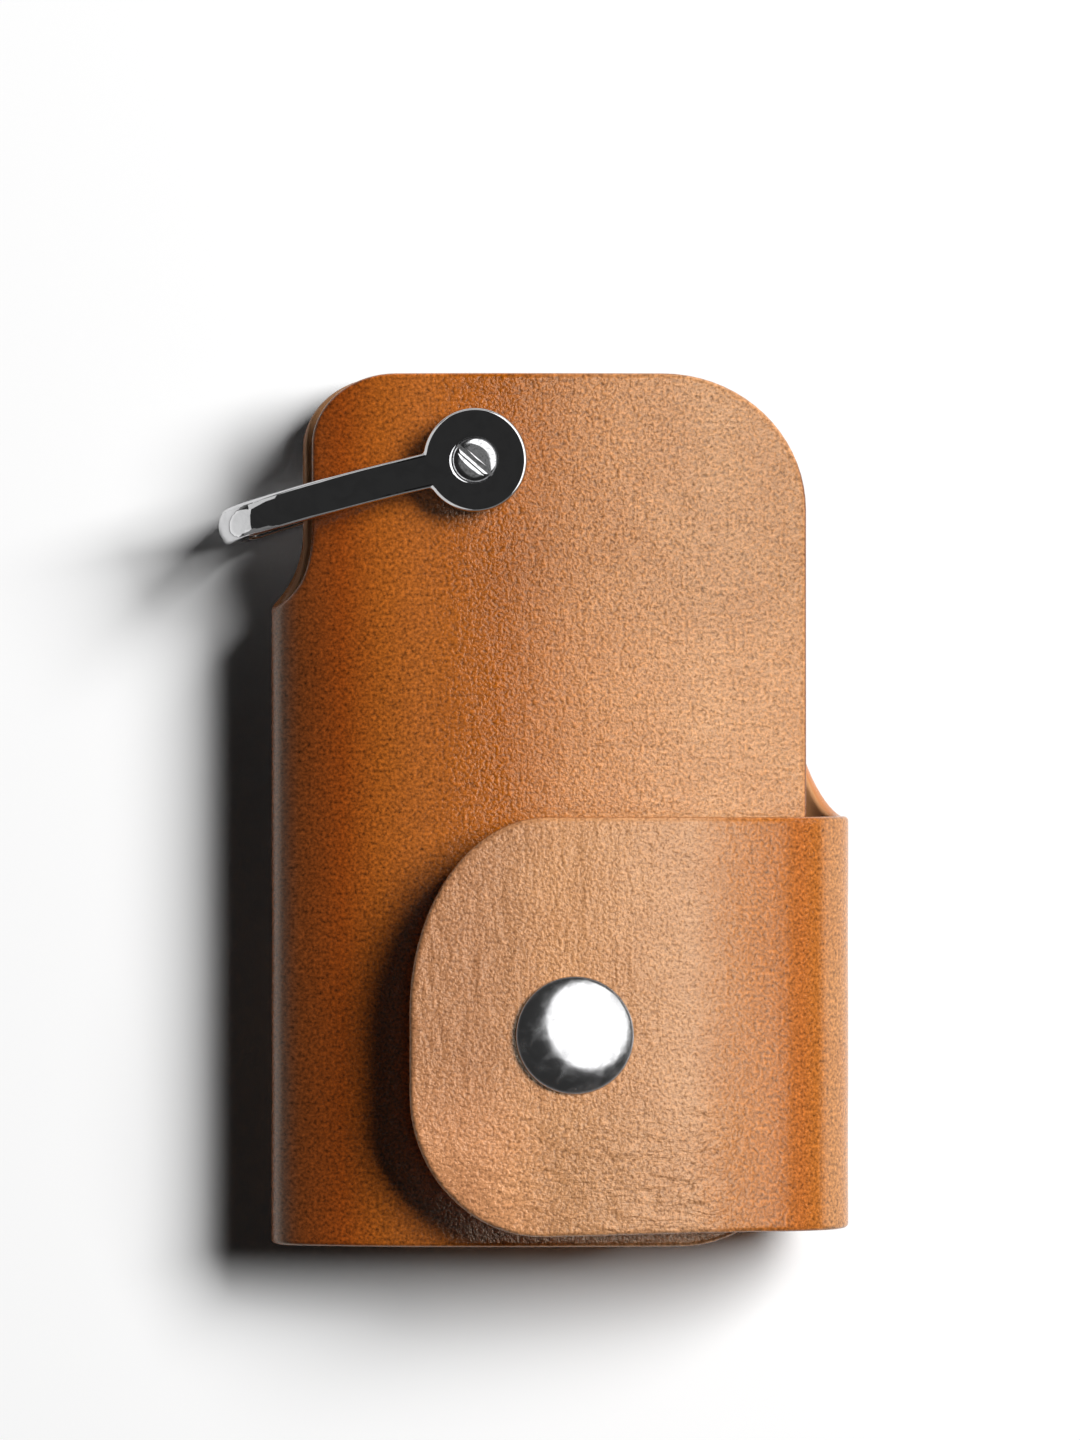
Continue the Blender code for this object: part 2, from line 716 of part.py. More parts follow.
def stand_on_origin(root):
    """Moves the part so that the middle of its footprint is the origin."""
    bpy.context.view_layer.update()
    graph = bpy.context.evaluated_depsgraph_get()
    corners = []
    for obj in bpy.context.scene.objects:
        if obj.type == "EMPTY" or obj.hide_render:
            continue
        evaluated = obj.evaluated_get(graph)
        mesh = evaluated.to_mesh()
        corners += [evaluated.matrix_world @ vertex.co for vertex in mesh.vertices]
        evaluated.to_mesh_clear()
    low = [min(corner[axis] for corner in corners) for axis in range(3)]
    high = [max(corner[axis] for corner in corners) for axis in range(3)]
    root.location = (-(low[0] + high[0]) / 2, -(low[1] + high[1]) / 2, -low[2])
    bpy.context.view_layer.update()


def new_empty(name, location, parent=None):
    empty = bpy.data.objects.new(name, None)
    empty.empty_display_size = FOLD_RADIUS
    empty.location = location
    empty.parent = parent
    bpy.context.scene.collection.objects.link(empty)
    return empty


def main():
    for obj in list(bpy.data.objects):
        bpy.data.objects.remove(obj)
    root = new_empty("cover_root", (0, 0, 0))
    flap_hinge = new_empty("flap_hinge", FOLD_AXIS, root)
    make_leather(root, flap_hinge)
    shackle = make_shackle(root)
    make_screw(shackle)
    make_cap(flap_hinge)
    make_socket(flap_hinge)
    make_spring(flap_hinge)
    make_stud(root)
    make_eyelet(root)
    stand_on_origin(root)
    bpy.context.view_layer.update()
    for empty in (root, flap_hinge, shackle):
        print(empty.name, "at", [round(value, 6) for value in empty.matrix_world.translation])


main()
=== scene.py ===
# %% [markdown]
# # A leather key cover with a shackle and a snap
# The cover is one strip of tan leather. It is folded into two panels with the keys between them,
# its end comes round the front as a flap, and a snap shuts it. A steel shackle with a slotted
# screw pins the keys at the top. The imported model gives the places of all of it. This lesson
# dresses that model: it cuts the leather flat and folds it, as a maker does, turns the metal,
# mixes the finishes, and sets up a small studio.

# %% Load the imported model
import math
from types import SimpleNamespace

import bmesh
import bpy
from mathutils import Matrix, Vector, noise


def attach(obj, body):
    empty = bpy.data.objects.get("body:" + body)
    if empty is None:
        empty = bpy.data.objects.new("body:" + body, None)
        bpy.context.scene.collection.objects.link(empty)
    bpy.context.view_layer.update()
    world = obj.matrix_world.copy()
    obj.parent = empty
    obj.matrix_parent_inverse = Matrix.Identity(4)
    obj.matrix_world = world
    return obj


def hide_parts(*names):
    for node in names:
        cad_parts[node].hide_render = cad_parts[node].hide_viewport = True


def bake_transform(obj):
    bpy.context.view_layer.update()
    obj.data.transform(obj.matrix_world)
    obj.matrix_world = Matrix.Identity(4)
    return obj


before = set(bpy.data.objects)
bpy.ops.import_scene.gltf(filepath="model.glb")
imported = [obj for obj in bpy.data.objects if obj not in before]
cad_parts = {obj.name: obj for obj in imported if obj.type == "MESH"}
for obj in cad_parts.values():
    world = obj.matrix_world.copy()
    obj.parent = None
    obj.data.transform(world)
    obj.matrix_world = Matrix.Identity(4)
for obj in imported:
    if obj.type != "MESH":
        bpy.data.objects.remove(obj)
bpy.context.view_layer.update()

# %% [markdown]
# Blender counts in metres, and a leather worker in millimetres. The cover is drawn as a maker
# would draw it: X starts at the spine, Y at the bottom edge, and Z at the surface it lies on.
# At the end each piece is shifted so that the drawing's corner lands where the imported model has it.

# %% Units and the drawing's corner
mm = 0.001
DRAWING_CORNER = Vector((-27.765, -46.35, 0)) * mm
PIVOT = Vector((21.5, 83.4, 0)) * mm
SNAP = Vector((32.1, 22.7, 0)) * mm

# %% [markdown]
# A bmesh is a shape that can still be edited. Four jobs come back for nearly every piece: a flat
# sheet is pulled out to a solid, edges are rounded, the shape is turned and moved to its place,
# and at last it becomes an object.

# %% Jobs that come back
TINY = 0.0001 * mm


def thickened(bm, vector):
    """Pulls a flat sheet out to a solid along a vector."""
    grown = bmesh.ops.extrude_face_region(bm, geom=bm.faces[:])["geom"]
    moved = [item for item in grown if isinstance(item, bmesh.types.BMVert)]
    bmesh.ops.translate(bm, verts=moved, vec=vector)
    bmesh.ops.recalc_face_normals(bm, faces=bm.faces)


def rounded(bm, edges, width, steps):
    """Rounds edges over a given width."""
    bmesh.ops.bevel(bm, geom=edges, offset=width, offset_type="OFFSET", segments=steps,
                    profile=0.5, affect="EDGES", material=-1)


def placed(bm, place, turn=0.0, axis="Z", about=(0, 0, 0)):
    """Turns a shape about a point, then moves it."""
    bmesh.ops.rotate(bm, verts=bm.verts, cent=about, matrix=Matrix.Rotation(turn, 3, axis))
    bmesh.ops.translate(bm, verts=bm.verts, vec=place)


def as_object(name, bm):
    """Makes the bmesh an object of the scene."""
    mesh = bpy.data.meshes.new(name)
    bm.to_mesh(mesh)
    bm.free()
    obj = bpy.data.objects.new(name, mesh)
    bpy.context.scene.collection.objects.link(obj)
    return obj


# %% [markdown]
# Every piece ends in the same way: doubles are merged, the faces are turned outwards, the shape
# is moved to its place inside its own mesh, and the object itself stays at the origin. Smooth
# shading hides the facets, and only the edges sharper than a given angle stay crisp.

# %% Finish a piece and tie it to its body
def finished(name, bm, body, crisp=40):
    """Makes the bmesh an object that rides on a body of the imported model."""
    bmesh.ops.remove_doubles(bm, verts=bm.verts, dist=TINY)
    bmesh.ops.recalc_face_normals(bm, faces=bm.faces)
    placed(bm, DRAWING_CORNER)
    piece = as_object(name, bm)
    piece.data.shade_smooth()
    piece.data.set_sharp_from_angle(angle=math.radians(crisp))
    if body:
        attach(piece, body)
    print(name, "has", len(piece.data.polygons), "faces")
    return piece


# %% [markdown]
# ## The leather strip
# Real leather doesn't stretch much, so a good way to model it is the maker's own: cut the strip
# flat, then fold it. Seen from its edge the folded strip runs through six stretches. Each is a
# bend about a centre or a flat run, and its length is measured in the middle of the leather.

# %% The strip's sizes
LEATHER = 1.8 * mm
HEIGHT = 92.7 * mm
FRONT_WIDTH = 56.4 * mm
BACK_FACE = 2.5 * mm
CROWN = 12.1 * mm
SPINE_SLOPE = 14.0
EDGE_SLOPE = 6.5
EDGE_LEAN = 6.56
SNAP_HEIGHT = 5.18 * mm
FOLD_X = 54.4 * mm
FLAP_REACH = 39.8 * mm

# %% [markdown]
# The front panel is bowed over the keys. It is highest at the shackle's pivot, and on each side it
# falls along the arc of a big circle. The right arc has a known slope where it reaches the
# panel's width, and the leather ends a third of a millimetre beyond. The left one has to run
# smoothly into the round bend of the spine, which settles both radii: two circles meet without a
# kink where they have the same slope. The flap lies level above the snap. Each result is rounded
# to a tenth of a micrometre.

# %% Work out the bends
def bend_radii():
    """The radii of the spine's bend, of the left arc and of the right arc."""
    sine = math.sin(math.radians(SPINE_SLOPE))
    cosine = math.cos(math.radians(SPINE_SLOPE))
    half = math.tan(math.radians(SPINE_SLOPE / 2))
    spine = (CROWN - BACK_FACE - PIVOT.x * half) / (1 + cosine - (1 - sine) * half)
    left = (PIVOT.x - spine * (1 - sine)) / sine
    right = (FRONT_WIDTH - PIVOT.x) / math.sin(math.radians(EDGE_SLOPE))
    return round(spine, 7), round(left, 7), round(right, 7)


SPINE_BEND, LEFT_CROWN, RIGHT_CROWN = bend_radii()
SNAP_DROP = RIGHT_CROWN - math.sqrt(RIGHT_CROWN ** 2 - (SNAP.x - PIVOT.x) ** 2)
FLAP_FACE = round(CROWN - SNAP_DROP + SNAP_HEIGHT, 7)
FOLD_BEND = (FLAP_FACE - BACK_FACE) / 2
FOLD_Z = BACK_FACE + FOLD_BEND
print("the spine's bend has a radius of", round(SPINE_BEND / mm, 2), "mm")

# %% [markdown]
# Each stretch is kept with its length and with how many times it will be sliced. The spine bends
# most sharply, so its slices are the closest.

# %% The strip's path, seen from its edge
def bend(x, z, radius, start, end, spacing):
    """A stretch that turns about a centre, with its outer radius and its angles in degrees."""
    turn = math.radians(end - start)
    length = (radius - LEATHER / 2) * turn
    return {"x": x, "z": z, "radius": radius, "start": math.radians(start), "turn": turn,
            "length": length, "cuts": round(length / spacing)}


def run(x, z, heading, length, spacing):
    """A flat stretch that heads right (1) or left (-1)."""
    return {"x": x, "z": z, "heading": heading, "length": length,
            "cuts": round(length / spacing)}


PATH = {
    "right half": bend(
        PIVOT.x, CROWN - RIGHT_CROWN, RIGHT_CROWN, 90 - EDGE_LEAN, 90, 2 * mm),
    "left half": bend(
        PIVOT.x, CROWN - LEFT_CROWN, LEFT_CROWN, 90, 90 + SPINE_SLOPE, 1.2 * mm),
    "spine": bend(
        SPINE_BEND, BACK_FACE + SPINE_BEND, SPINE_BEND, 90 + SPINE_SLOPE, 270, 0.16 * mm),
    "back": run(SPINE_BEND, BACK_FACE, 1, FOLD_X - SPINE_BEND, 2 * mm),
    "fold": bend(FOLD_X, FOLD_Z, FOLD_BEND, 270, 450, 0.3 * mm),
    "flap": run(FOLD_X, FLAP_FACE, -1, FLAP_REACH, 1.3 * mm),
}
START = {}
STRIP = 0.0
for stretch, shape in PATH.items():
    START[stretch] = STRIP
    STRIP += shape["length"]
print("the strip is", round(STRIP / mm, 1), "mm long")


# %% [markdown]
# A folded point is found from three numbers: how far along the strip it is, how far up, and how
# deep in the leather, counted from the smooth grain side.

# %% Fold a flat point
def folded(along, up, depth):
    """Where a point of the flat strip lies on the folded cover."""
    stretch = [name for name, start in START.items() if start <= along + TINY][-1]
    shape = PATH[stretch]
    beyond = along - START[stretch]
    if "radius" in shape:
        angle = shape["start"] + shape["turn"] * beyond / shape["length"]
        reach = shape["radius"] - depth
        return Vector((shape["x"] + reach * math.cos(angle), up,
                       shape["z"] + reach * math.sin(angle)))
    heading = shape["heading"]
    return Vector((shape["x"] + heading * beyond, up, shape["z"] + heading * depth))


def front_along(x):
    """How far along the strip the front panel reaches a given X."""
    if x > PIVOT.x:
        lean = math.asin((x - PIVOT.x) / RIGHT_CROWN)
        return START["left half"] - (RIGHT_CROWN - LEATHER / 2) * lean
    lean = math.asin((PIVOT.x - x) / LEFT_CROWN)
    return START["left half"] + (LEFT_CROWN - LEATHER / 2) * lean


# %% [markdown]
# The knife's outline is drawn on the flat strip, so places on the folded cover are measured back
# along it: both ends of the notch for the shackle, the back panel's edge under the fold, and the
# seam just past it, where the strip will be parted.

# %% Find the landmarks on the flat strip
NOTCH_FRONT_INSET = 4.0 * mm
NOTCH_BACK_INSET = 2.8 * mm
EDGE_PAST_FOLD = 2.0 * mm
SEAM_PAST_EDGE = 0.7 * mm
NOTCH_FRONT = front_along(NOTCH_FRONT_INSET)
NOTCH_TURN = math.asin(1 - NOTCH_BACK_INSET / SPINE_BEND)
NOTCH_BACK = START["back"] - (SPINE_BEND - LEATHER / 2) * NOTCH_TURN
EDGE_TURN = math.asin(EDGE_PAST_FOLD / FOLD_BEND)
BACK_EDGE = START["fold"] + (FOLD_BEND - LEATHER / 2) * EDGE_TURN
SEAM = BACK_EDGE + SEAM_PAST_EDGE
HALF_NOTCH = (NOTCH_BACK - NOTCH_FRONT) / 2
print("the notch takes", round(2 * HALF_NOTCH / mm, 1), "mm of the strip")

# %% [markdown]
# The knife's outline has thirteen corners. Each is rounded by a bevel of its one vertex, which
# makes a quarter circle. Where the real corner is longer one way, that arc is stretched about
# the corner.

# %% Cut the outline
FLAP_TOP = 45.65 * mm
FOLD_BOTTOM = 1.9 * mm
FLAP_BOTTOM = 1.0 * mm
NOTCH_END = HEIGHT - 24.6 * mm
PANEL_EDGE = BACK_EDGE - 1.2 * mm
FOOT = (13.5 * mm, 13.5 * mm)
STEP_UP = (3.5 * mm, 3.5 * mm)
OUTER_CORNER = (15.3 * mm, 14.5 * mm)
INNER_CORNER = (9.0 * mm, 7.6 * mm)
NOTCH_ROUND = (HALF_NOTCH, 8.0 * mm)
OUTLINE = [  # along, up, and how far the rounding reaches along and up
    (0, 0, *FOOT),
    (START["fold"] - 16 * mm, 0, *STEP_UP),
    (START["fold"] - 8 * mm, FOLD_BOTTOM, *STEP_UP),
    (START["flap"] + 7 * mm, FOLD_BOTTOM, *STEP_UP),
    (STRIP, FLAP_BOTTOM, 14.4 * mm, 15.5 * mm),
    (STRIP, FLAP_TOP, 14.4 * mm, 20.4 * mm),
    (PANEL_EDGE, FLAP_TOP, 6.8 * mm, 17.5 * mm),
    (PANEL_EDGE, HEIGHT, *OUTER_CORNER),
    (NOTCH_BACK, HEIGHT, *INNER_CORNER),
    (NOTCH_BACK, NOTCH_END, *NOTCH_ROUND),
    (NOTCH_FRONT, NOTCH_END, *NOTCH_ROUND),
    (NOTCH_FRONT, HEIGHT, *INNER_CORNER),
    (0, HEIGHT, *OUTER_CORNER),
]


def cut_outline(bm):
    """One face with the strip's outline, its corners rounded."""
    corners = [bm.verts.new((along, up, 0)) for along, up, *_ in OUTLINE]
    bm.faces.new(corners)
    for corner, (_, _, reach_along, reach_up) in zip(corners, OUTLINE):
        place = Matrix.Translation(-corner.co)
        arc = bmesh.ops.bevel(
            bm, geom=[corner], offset=reach_along, offset_type="OFFSET", segments=18,
            profile=0.5, affect="VERTICES", material=-1)["verts"]
        bmesh.ops.scale(bm, vec=(1, reach_up / reach_along, 1), space=place, verts=arc)


# %% [markdown]
# The flat sheet then gets its thickness, and its rims are rounded: the maker bevels and burnishes
# them with a wooden slicker. Only after that is it sliced across and along, because a bevel
# works best on big faces. The slices are where the leather can bend.

# %% Thicken, burnish and slice the strip
RIM = 0.5 * mm
RIM_BORDER = 0.45 * mm
ROWS = 46
MOST_CORNERS = 60


def sliced(bm, point, normal, clear_outer=False):
    """Adds vertices where a plane meets the sheet, and may drop what lies before the plane."""
    everything = bm.verts[:] + bm.edges[:] + bm.faces[:]
    bmesh.ops.bisect_plane(bm, geom=everything, dist=TINY, plane_co=point, plane_no=normal,
                           clear_outer=clear_outer)


def flat_strip():
    """The whole strip, still flat, with its grain side at depth 0."""
    bm = bmesh.new()
    cut_outline(bm)
    bmesh.ops.remove_doubles(bm, verts=bm.verts, dist=0.01 * mm)
    thickened(bm, (0, 0, LEATHER))
    rounded(bm, [edge for edge in bm.edges if edge.calc_face_angle(0) > 1], RIM, 4)
    panels = [face for face in bm.faces if len(face.verts) > MOST_CORNERS]
    bmesh.ops.inset_region(bm, faces=panels, thickness=RIM_BORDER)
    for stretch, shape in PATH.items():
        for cut in range(shape["cuts"]):
            along = START[stretch] + shape["length"] * cut / shape["cuts"]
            sliced(bm, (along, 0, 0), (1, 0, 0))
    for row in range(1, ROWS):
        sliced(bm, (0, HEIGHT * row / ROWS, 0), (0, 1, 0))
    return bm


strip = flat_strip()
print("the flat strip has", len(strip.faces), "faces")

# %% [markdown]
# The snap pulls the flap down, and that draws the fold in by almost two millimetres. The pull is
# strongest just before the fold ends. It fades in a parabola towards the snap, and a cubic curve
# carries it back round the fold without a kink.

# %% The pull of the snap
PULL = 1.8
PULL_REACH = 21.0
FOLD_REACH = 15.0


def drawn_in(beyond):
    """How far the leather is drawn in, some millimetres beyond the fold's end."""
    if beyond >= 0:
        return PULL * max(0.0, 1 - beyond / PULL_REACH) ** 2
    share = min(1.0, -beyond / FOLD_REACH)
    rise = 2 * PULL / PULL_REACH * FOLD_REACH
    return (PULL * (2 * share ** 3 - 3 * share ** 2 + 1)
            + rise * (share ** 3 - 2 * share ** 2 + share))


# %% [markdown]
# Leather is never quite flat either. Two noises lift and lower the sheet by a few hundredths of a
# millimetre, the spine swells out, and the cap presses a shallow ring into the flap. The flap's
# lower end droops a little towards the panel.

# %% Let the leather undulate
CAP_ALONG = START["flap"] + 22.3 * mm
SLOW_WAVE = 14 * mm
QUICK_WAVE = 5 * mm
SLOW_HEIGHT = 0.05
QUICK_HEIGHT = 0.015
RING_RADIUS = 6.0
RING_WIDTH = 2.6
RING_DEPTH = 0.1
SPINE_SWELL = 0.3
DROOP_FROM = 26
DROOP_LENGTH = 13
DROOP_HEIGHT = 12


def clamped(share):
    """A share held between 0 and 1."""
    return min(1.0, max(0.0, share))


def smooth(share):
    """0 below 0, 1 above 1 and a soft step between."""
    share = clamped(share)
    return share * share * (3 - 2 * share)


def lift(along, up):
    """How far the leather rises above its ideal surface."""
    slow = noise.noise(Vector((along, up, 3)) / SLOW_WAVE)
    quick = noise.noise(Vector((along, up, 7)) / QUICK_WAVE)
    from_cap = math.hypot(along - CAP_ALONG, up - SNAP.y) / mm
    ring = max(0.0, 1 - abs(from_cap - RING_RADIUS) / RING_WIDTH)
    beyond = (along - START["flap"]) / mm
    round_spine = (along - START["spine"]) / PATH["spine"]["length"]
    swell = SPINE_SWELL * math.sin(math.pi * clamped(round_spine)) ** 2
    low_corner = smooth((DROOP_HEIGHT + 1 - up / mm) / DROOP_HEIGHT)
    droop = smooth((beyond - DROOP_FROM) / DROOP_LENGTH) * low_corner
    uneven = SLOW_HEIGHT * slow + QUICK_HEIGHT * quick - RING_DEPTH * ring * ring
    return (swell + uneven - drawn_in(beyond) - droop) * mm


# %% [markdown]
# Before the fold, each vertex keeps its place on the flat strip, which the grain will follow, and
# how far it is round the rim, where the leather is burnished.

# %% Fold the strip
def fold_up(bm):
    """Stores each vertex's flat place and the rim's tilt, then folds the strip."""
    flat_place = bm.verts.layers.float_vector.new("flat_place")
    rim = bm.verts.layers.float.new("rim")
    bm.normal_update()
    for vertex in bm.verts:
        vertex[flat_place] = vertex.co
        vertex[rim] = 1 - abs(vertex.normal.z)
    for vertex in bm.verts:
        along, up, depth = vertex.co
        vertex.co = folded(along, up, depth - lift(along, up))


# %% [markdown]
# The strip crosses the hinge of the flap, and a rigid piece can't bend there. So it is parted
# where the fold begins: the wrap stays on the cover, and the rest is a piece of its own. The
# parting lies under the fold, where it doesn't show.

# %% Part the strip and fold both pieces
def part_of_strip(name, direction, body):
    """The strip on one side of the parting, closed there and folded."""
    bm = strip.copy()
    sliced(bm, (SEAM, 0, 0), (direction, 0, 0), clear_outer=True)
    fold_up(bm)
    open_edges = [edge for edge in bm.edges if edge.is_boundary]
    bmesh.ops.holes_fill(bm, edges=open_edges, sides=0)
    return finished(name, bm, body, crisp=50)


wrap = part_of_strip("wrap_leather", 1, "cover")
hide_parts("cover_wrap")

flap = part_of_strip("flap_leather", -1, None)
strip.free()

# %% [markdown]
# The punched holes are cut last, with round solids through the folded leather: one pair for the
# screw, one for the stud and one for the rivet of the cap.

# %% Punch the holes
def punched(piece, centre, radius, low, high):
    """Cuts a round hole through the leather."""
    bm = bmesh.new()
    bmesh.ops.create_cone(bm, cap_ends=True, segments=48, radius1=radius, radius2=radius,
                          depth=high - low)
    placed(bm, centre + DRAWING_CORNER + Vector((0, 0, (low + high) / 2)))
    carved(piece, as_object("punch", bm))


def carved(piece, tool):
    """Takes a solid away from a piece, applies the cut and drops the tool."""
    cut = piece.modifiers.new("Cut", "BOOLEAN")
    cut.operation = "DIFFERENCE"
    cut.solver = "EXACT"
    cut.object = tool
    graph = bpy.context.evaluated_depsgraph_get()
    mesh = bpy.data.meshes.new_from_object(piece.evaluated_get(graph))
    piece.modifiers.clear()
    before, piece.data = piece.data, mesh
    mesh.name = piece.name
    bpy.data.meshes.remove(before)
    bpy.data.objects.remove(tool)


SCREW_HOLE = 2.0 * mm
STUD_HOLE = 1.8 * mm
RIVET_HOLE = 1.9 * mm
punched(wrap, PIVOT, SCREW_HOLE, 1 * mm, 14 * mm)
punched(wrap, SNAP, STUD_HOLE, 7 * mm, 14 * mm)
punched(flap, SNAP, RIVET_HOLE, 13 * mm, 19 * mm)
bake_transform(flap)
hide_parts("flap_fold", "flap")
print("the wrap now has", len(wrap.data.polygons), "faces")

# %% [markdown]
# ## The shackle
# The shackle is one flat steel bar with an eye at each end, bent into a U. It is built as it is
# forged: laid out straight first, then bent. An eye is five circles inside one another, the arm
# grows out of the left side of the biggest, and a mirror gives the other half.

# %% Lay out the shackle flat
BAR = 2.2 * mm
EYE = 5.5 * mm
HALF_WIDTH = 1.875 * mm
BORE = 1.75 * mm
BOW = 4.2 * mm
REACH = 28.2 * mm
SHACKLE_TOP = 14.6 * mm
STRAIGHT = REACH - BOW
MID_BOW = BOW - BAR / 2
QUARTER = MID_BOW * math.pi / 2
DROP = SHACKLE_TOP - 2 * BOW
MIDDLE = STRAIGHT + QUARTER + DROP / 2
RECESS_LIP = 2.56 * mm
RECESS_SLOPE = 2.52 * mm
RECESS_FLOOR = 2.48 * mm


def bridged(bm, circles):
    """Joins each circle of vertices to the next with faces, and gives their rings of edges."""
    rings = [list({edge for vertex in circle for edge in vertex.link_edges})
             for circle in circles]
    for first, second in zip(rings, rings[1:]):
        bmesh.ops.bridge_loops(bm, edges=first + second)
    return rings


def flat_eye(bm, radii):
    """Rings from the eye's rim in to its bore."""
    bridged(bm, [bmesh.ops.create_circle(bm, segments=108, radius=radius)["verts"]
                 for radius in radii])


def flat_arm(bm):
    """The arm, grown from the eye's left side to the middle of the bow."""
    left_side = [v for v in bm.verts if v.co.x < -4.9 * mm]
    near = [v for v in left_side if abs(v.co.y) < HALF_WIDTH + 0.1 * mm]
    widest = max(abs(v.co.y) for v in near)
    bmesh.ops.scale(bm, vec=(1, HALF_WIDTH / widest, 1), verts=near)
    root = [edge for edge in bm.edges if all(v in near for v in edge.verts)]
    grown = bmesh.ops.extrude_edge_only(bm, edges=root)["geom"]
    for item in grown:
        if isinstance(item, bmesh.types.BMVert):
            item.co.x = -MIDDLE


def flat_shackle():
    """The whole bar, with its outer side at height 0."""
    bm = bmesh.new()
    flat_eye(bm, [EYE, RECESS_LIP, RECESS_SLOPE, RECESS_FLOOR, BORE])
    flat_arm(bm)
    placed(bm, (MIDDLE, 0, 0))
    bmesh.ops.mirror(bm, geom=bm.verts[:] + bm.edges[:] + bm.faces[:], axis="X",
                     merge_dist=1e-6)
    placed(bm, (-MIDDLE, 0, 0))
    bmesh.ops.recalc_face_normals(bm, faces=bm.faces)
    thickened(bm, (0, 0, -BAR))
    return bm


# %% [markdown]
# The front eye has a recess for the screw's head, so the rings inside it are pushed down. The
# recess is worn wider on the side of the arm, where it catches the light as a thin crescent.
# Then all outer rims are rounded over a little more than a third of a millimetre, which gives the
# thin bright lines that polished steel shows along its edges.

# %% Sink the front eye and round the rims
RECESS_DEPTH = 1.0 * mm
RECESS_REACH = 2.6 * mm
WEAR = 0.19 * mm
WORN_TOWARDS = math.radians(184)
INNER_ZONE = 4.5 * mm
ROUNDING = 0.38 * mm


def sink_front_eye(bm):
    """Pushes the recess into the outer side of the eye at the origin."""
    outer = [v for v in bm.verts if v.co.z > -BAR / 2 and v.co.xy.length < RECESS_REACH]
    floor = [v for v in outer if v.co.xy.length < (RECESS_FLOOR + RECESS_SLOPE) / 2]
    lip_from = (RECESS_SLOPE + RECESS_LIP) / 2
    worn_side = Vector((math.cos(WORN_TOWARDS), math.sin(WORN_TOWARDS)))
    for vertex in set(outer) - set(floor):
        outwards = vertex.co.xy.normalized()
        worn = WEAR * max(0.0, outwards.dot(worn_side)) ** 0.7
        if vertex.co.xy.length > lip_from:
            vertex.co.x += worn * outwards.x
            vertex.co.y += worn * outwards.y
        else:
            vertex.co.z -= 0.6 * worn
    bmesh.ops.translate(bm, verts=floor, vec=(0, 0, -RECESS_DEPTH))


def outer_edges(bm):
    """The sharp edges outside both eyes' bores and the recess."""
    def outside(edge):
        return all(min(v.co.xy.length, (v.co.xy + Vector((2 * MIDDLE, 0))).length) > INNER_ZONE
                   for v in edge.verts)
    return [edge for edge in bm.edges if edge.calc_face_angle(0) > 0.9 and outside(edge)]


# %% [markdown]
# Bending is a change of coordinates again: what was along the bar now runs along the front arm,
# round the bow and back. Towards the bow the flat bar grows a soft crown, the arms arch gently
# downwards, and the shackle rests turned by thirteen degrees.

# %% Bend the shackle and set it on its pivot
ARCH = 1.0 * mm
SHACKLE_TURN = math.radians(13)
CROWN_FROM = 9 * mm
CROWN_DEPTH = 0.8 * mm
BOW_SKEW = 0.12
ARM_SLICES = 12
BOW_SLICES = 22


def sag(distance):
    """How far the arched arm has dropped at a distance from the pivot."""
    return ARCH * max(0.0, (distance - EYE) / (REACH - EYE)) ** 2


def bent(point):
    """Where a point of the flat bar lies on the bent shackle."""
    along, depth = -point.x, -point.z
    mirrored = along > MIDDLE
    if mirrored:
        along = 2 * MIDDLE - along
    nearing = clamped((along - CROWN_FROM) / (STRAIGHT - CROWN_FROM))
    crown = CROWN_DEPTH * nearing ** 3 * abs(point.y / HALF_WIDTH) ** 2.4
    depth += crown * (1 - depth / BAR)
    if along <= STRAIGHT:
        x, z = -along, SHACKLE_TOP - depth
    elif along <= STRAIGHT + QUARTER:
        turn = (along - STRAIGHT) / MID_BOW
        x = -STRAIGHT - (BOW - depth) * math.sin(turn)
        z = SHACKLE_TOP - BOW + (BOW - depth) * math.cos(turn)
    else:
        x = -REACH + depth
        z = SHACKLE_TOP - BOW - (along - STRAIGHT - QUARTER)
    if mirrored:
        z = SHACKLE_TOP - z
    return Vector((x + BOW_SKEW * nearing ** 2 * point.y, point.y - sag(-x), z))


bar = flat_shackle()
arm_places = [STRAIGHT * step / ARM_SLICES for step in range(4, ARM_SLICES)]
bow_places = [STRAIGHT + QUARTER * step / BOW_SLICES for step in range(BOW_SLICES + 1)]
for place in arm_places + bow_places:
    sliced(bar, (-place, 0, 0), (1, 0, 0))
    sliced(bar, (place - 2 * MIDDLE, 0, 0), (1, 0, 0))
for across in (-1.3, -0.9, -0.45, 0.45, 0.9, 1.3):
    sliced(bar, (0, across * mm, 0), (0, 1, 0))
sink_front_eye(bar)
rounded(bar, outer_edges(bar), ROUNDING, 4)
for vertex in bar.verts:
    vertex.co = bent(vertex.co)
placed(bar, PIVOT, SHACKLE_TURN)
shackle = finished("shackle_steel", bar, "shackle_body", crisp=27)
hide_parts("shackle")

# %% [markdown]
# ## The turned pieces
# The screw, the cap and the parts of the snap come off a lathe or a press, so each is a profile
# of radii and heights spun once round. The spin closes on itself with use_merge, and the points
# on the axis are merged into one.

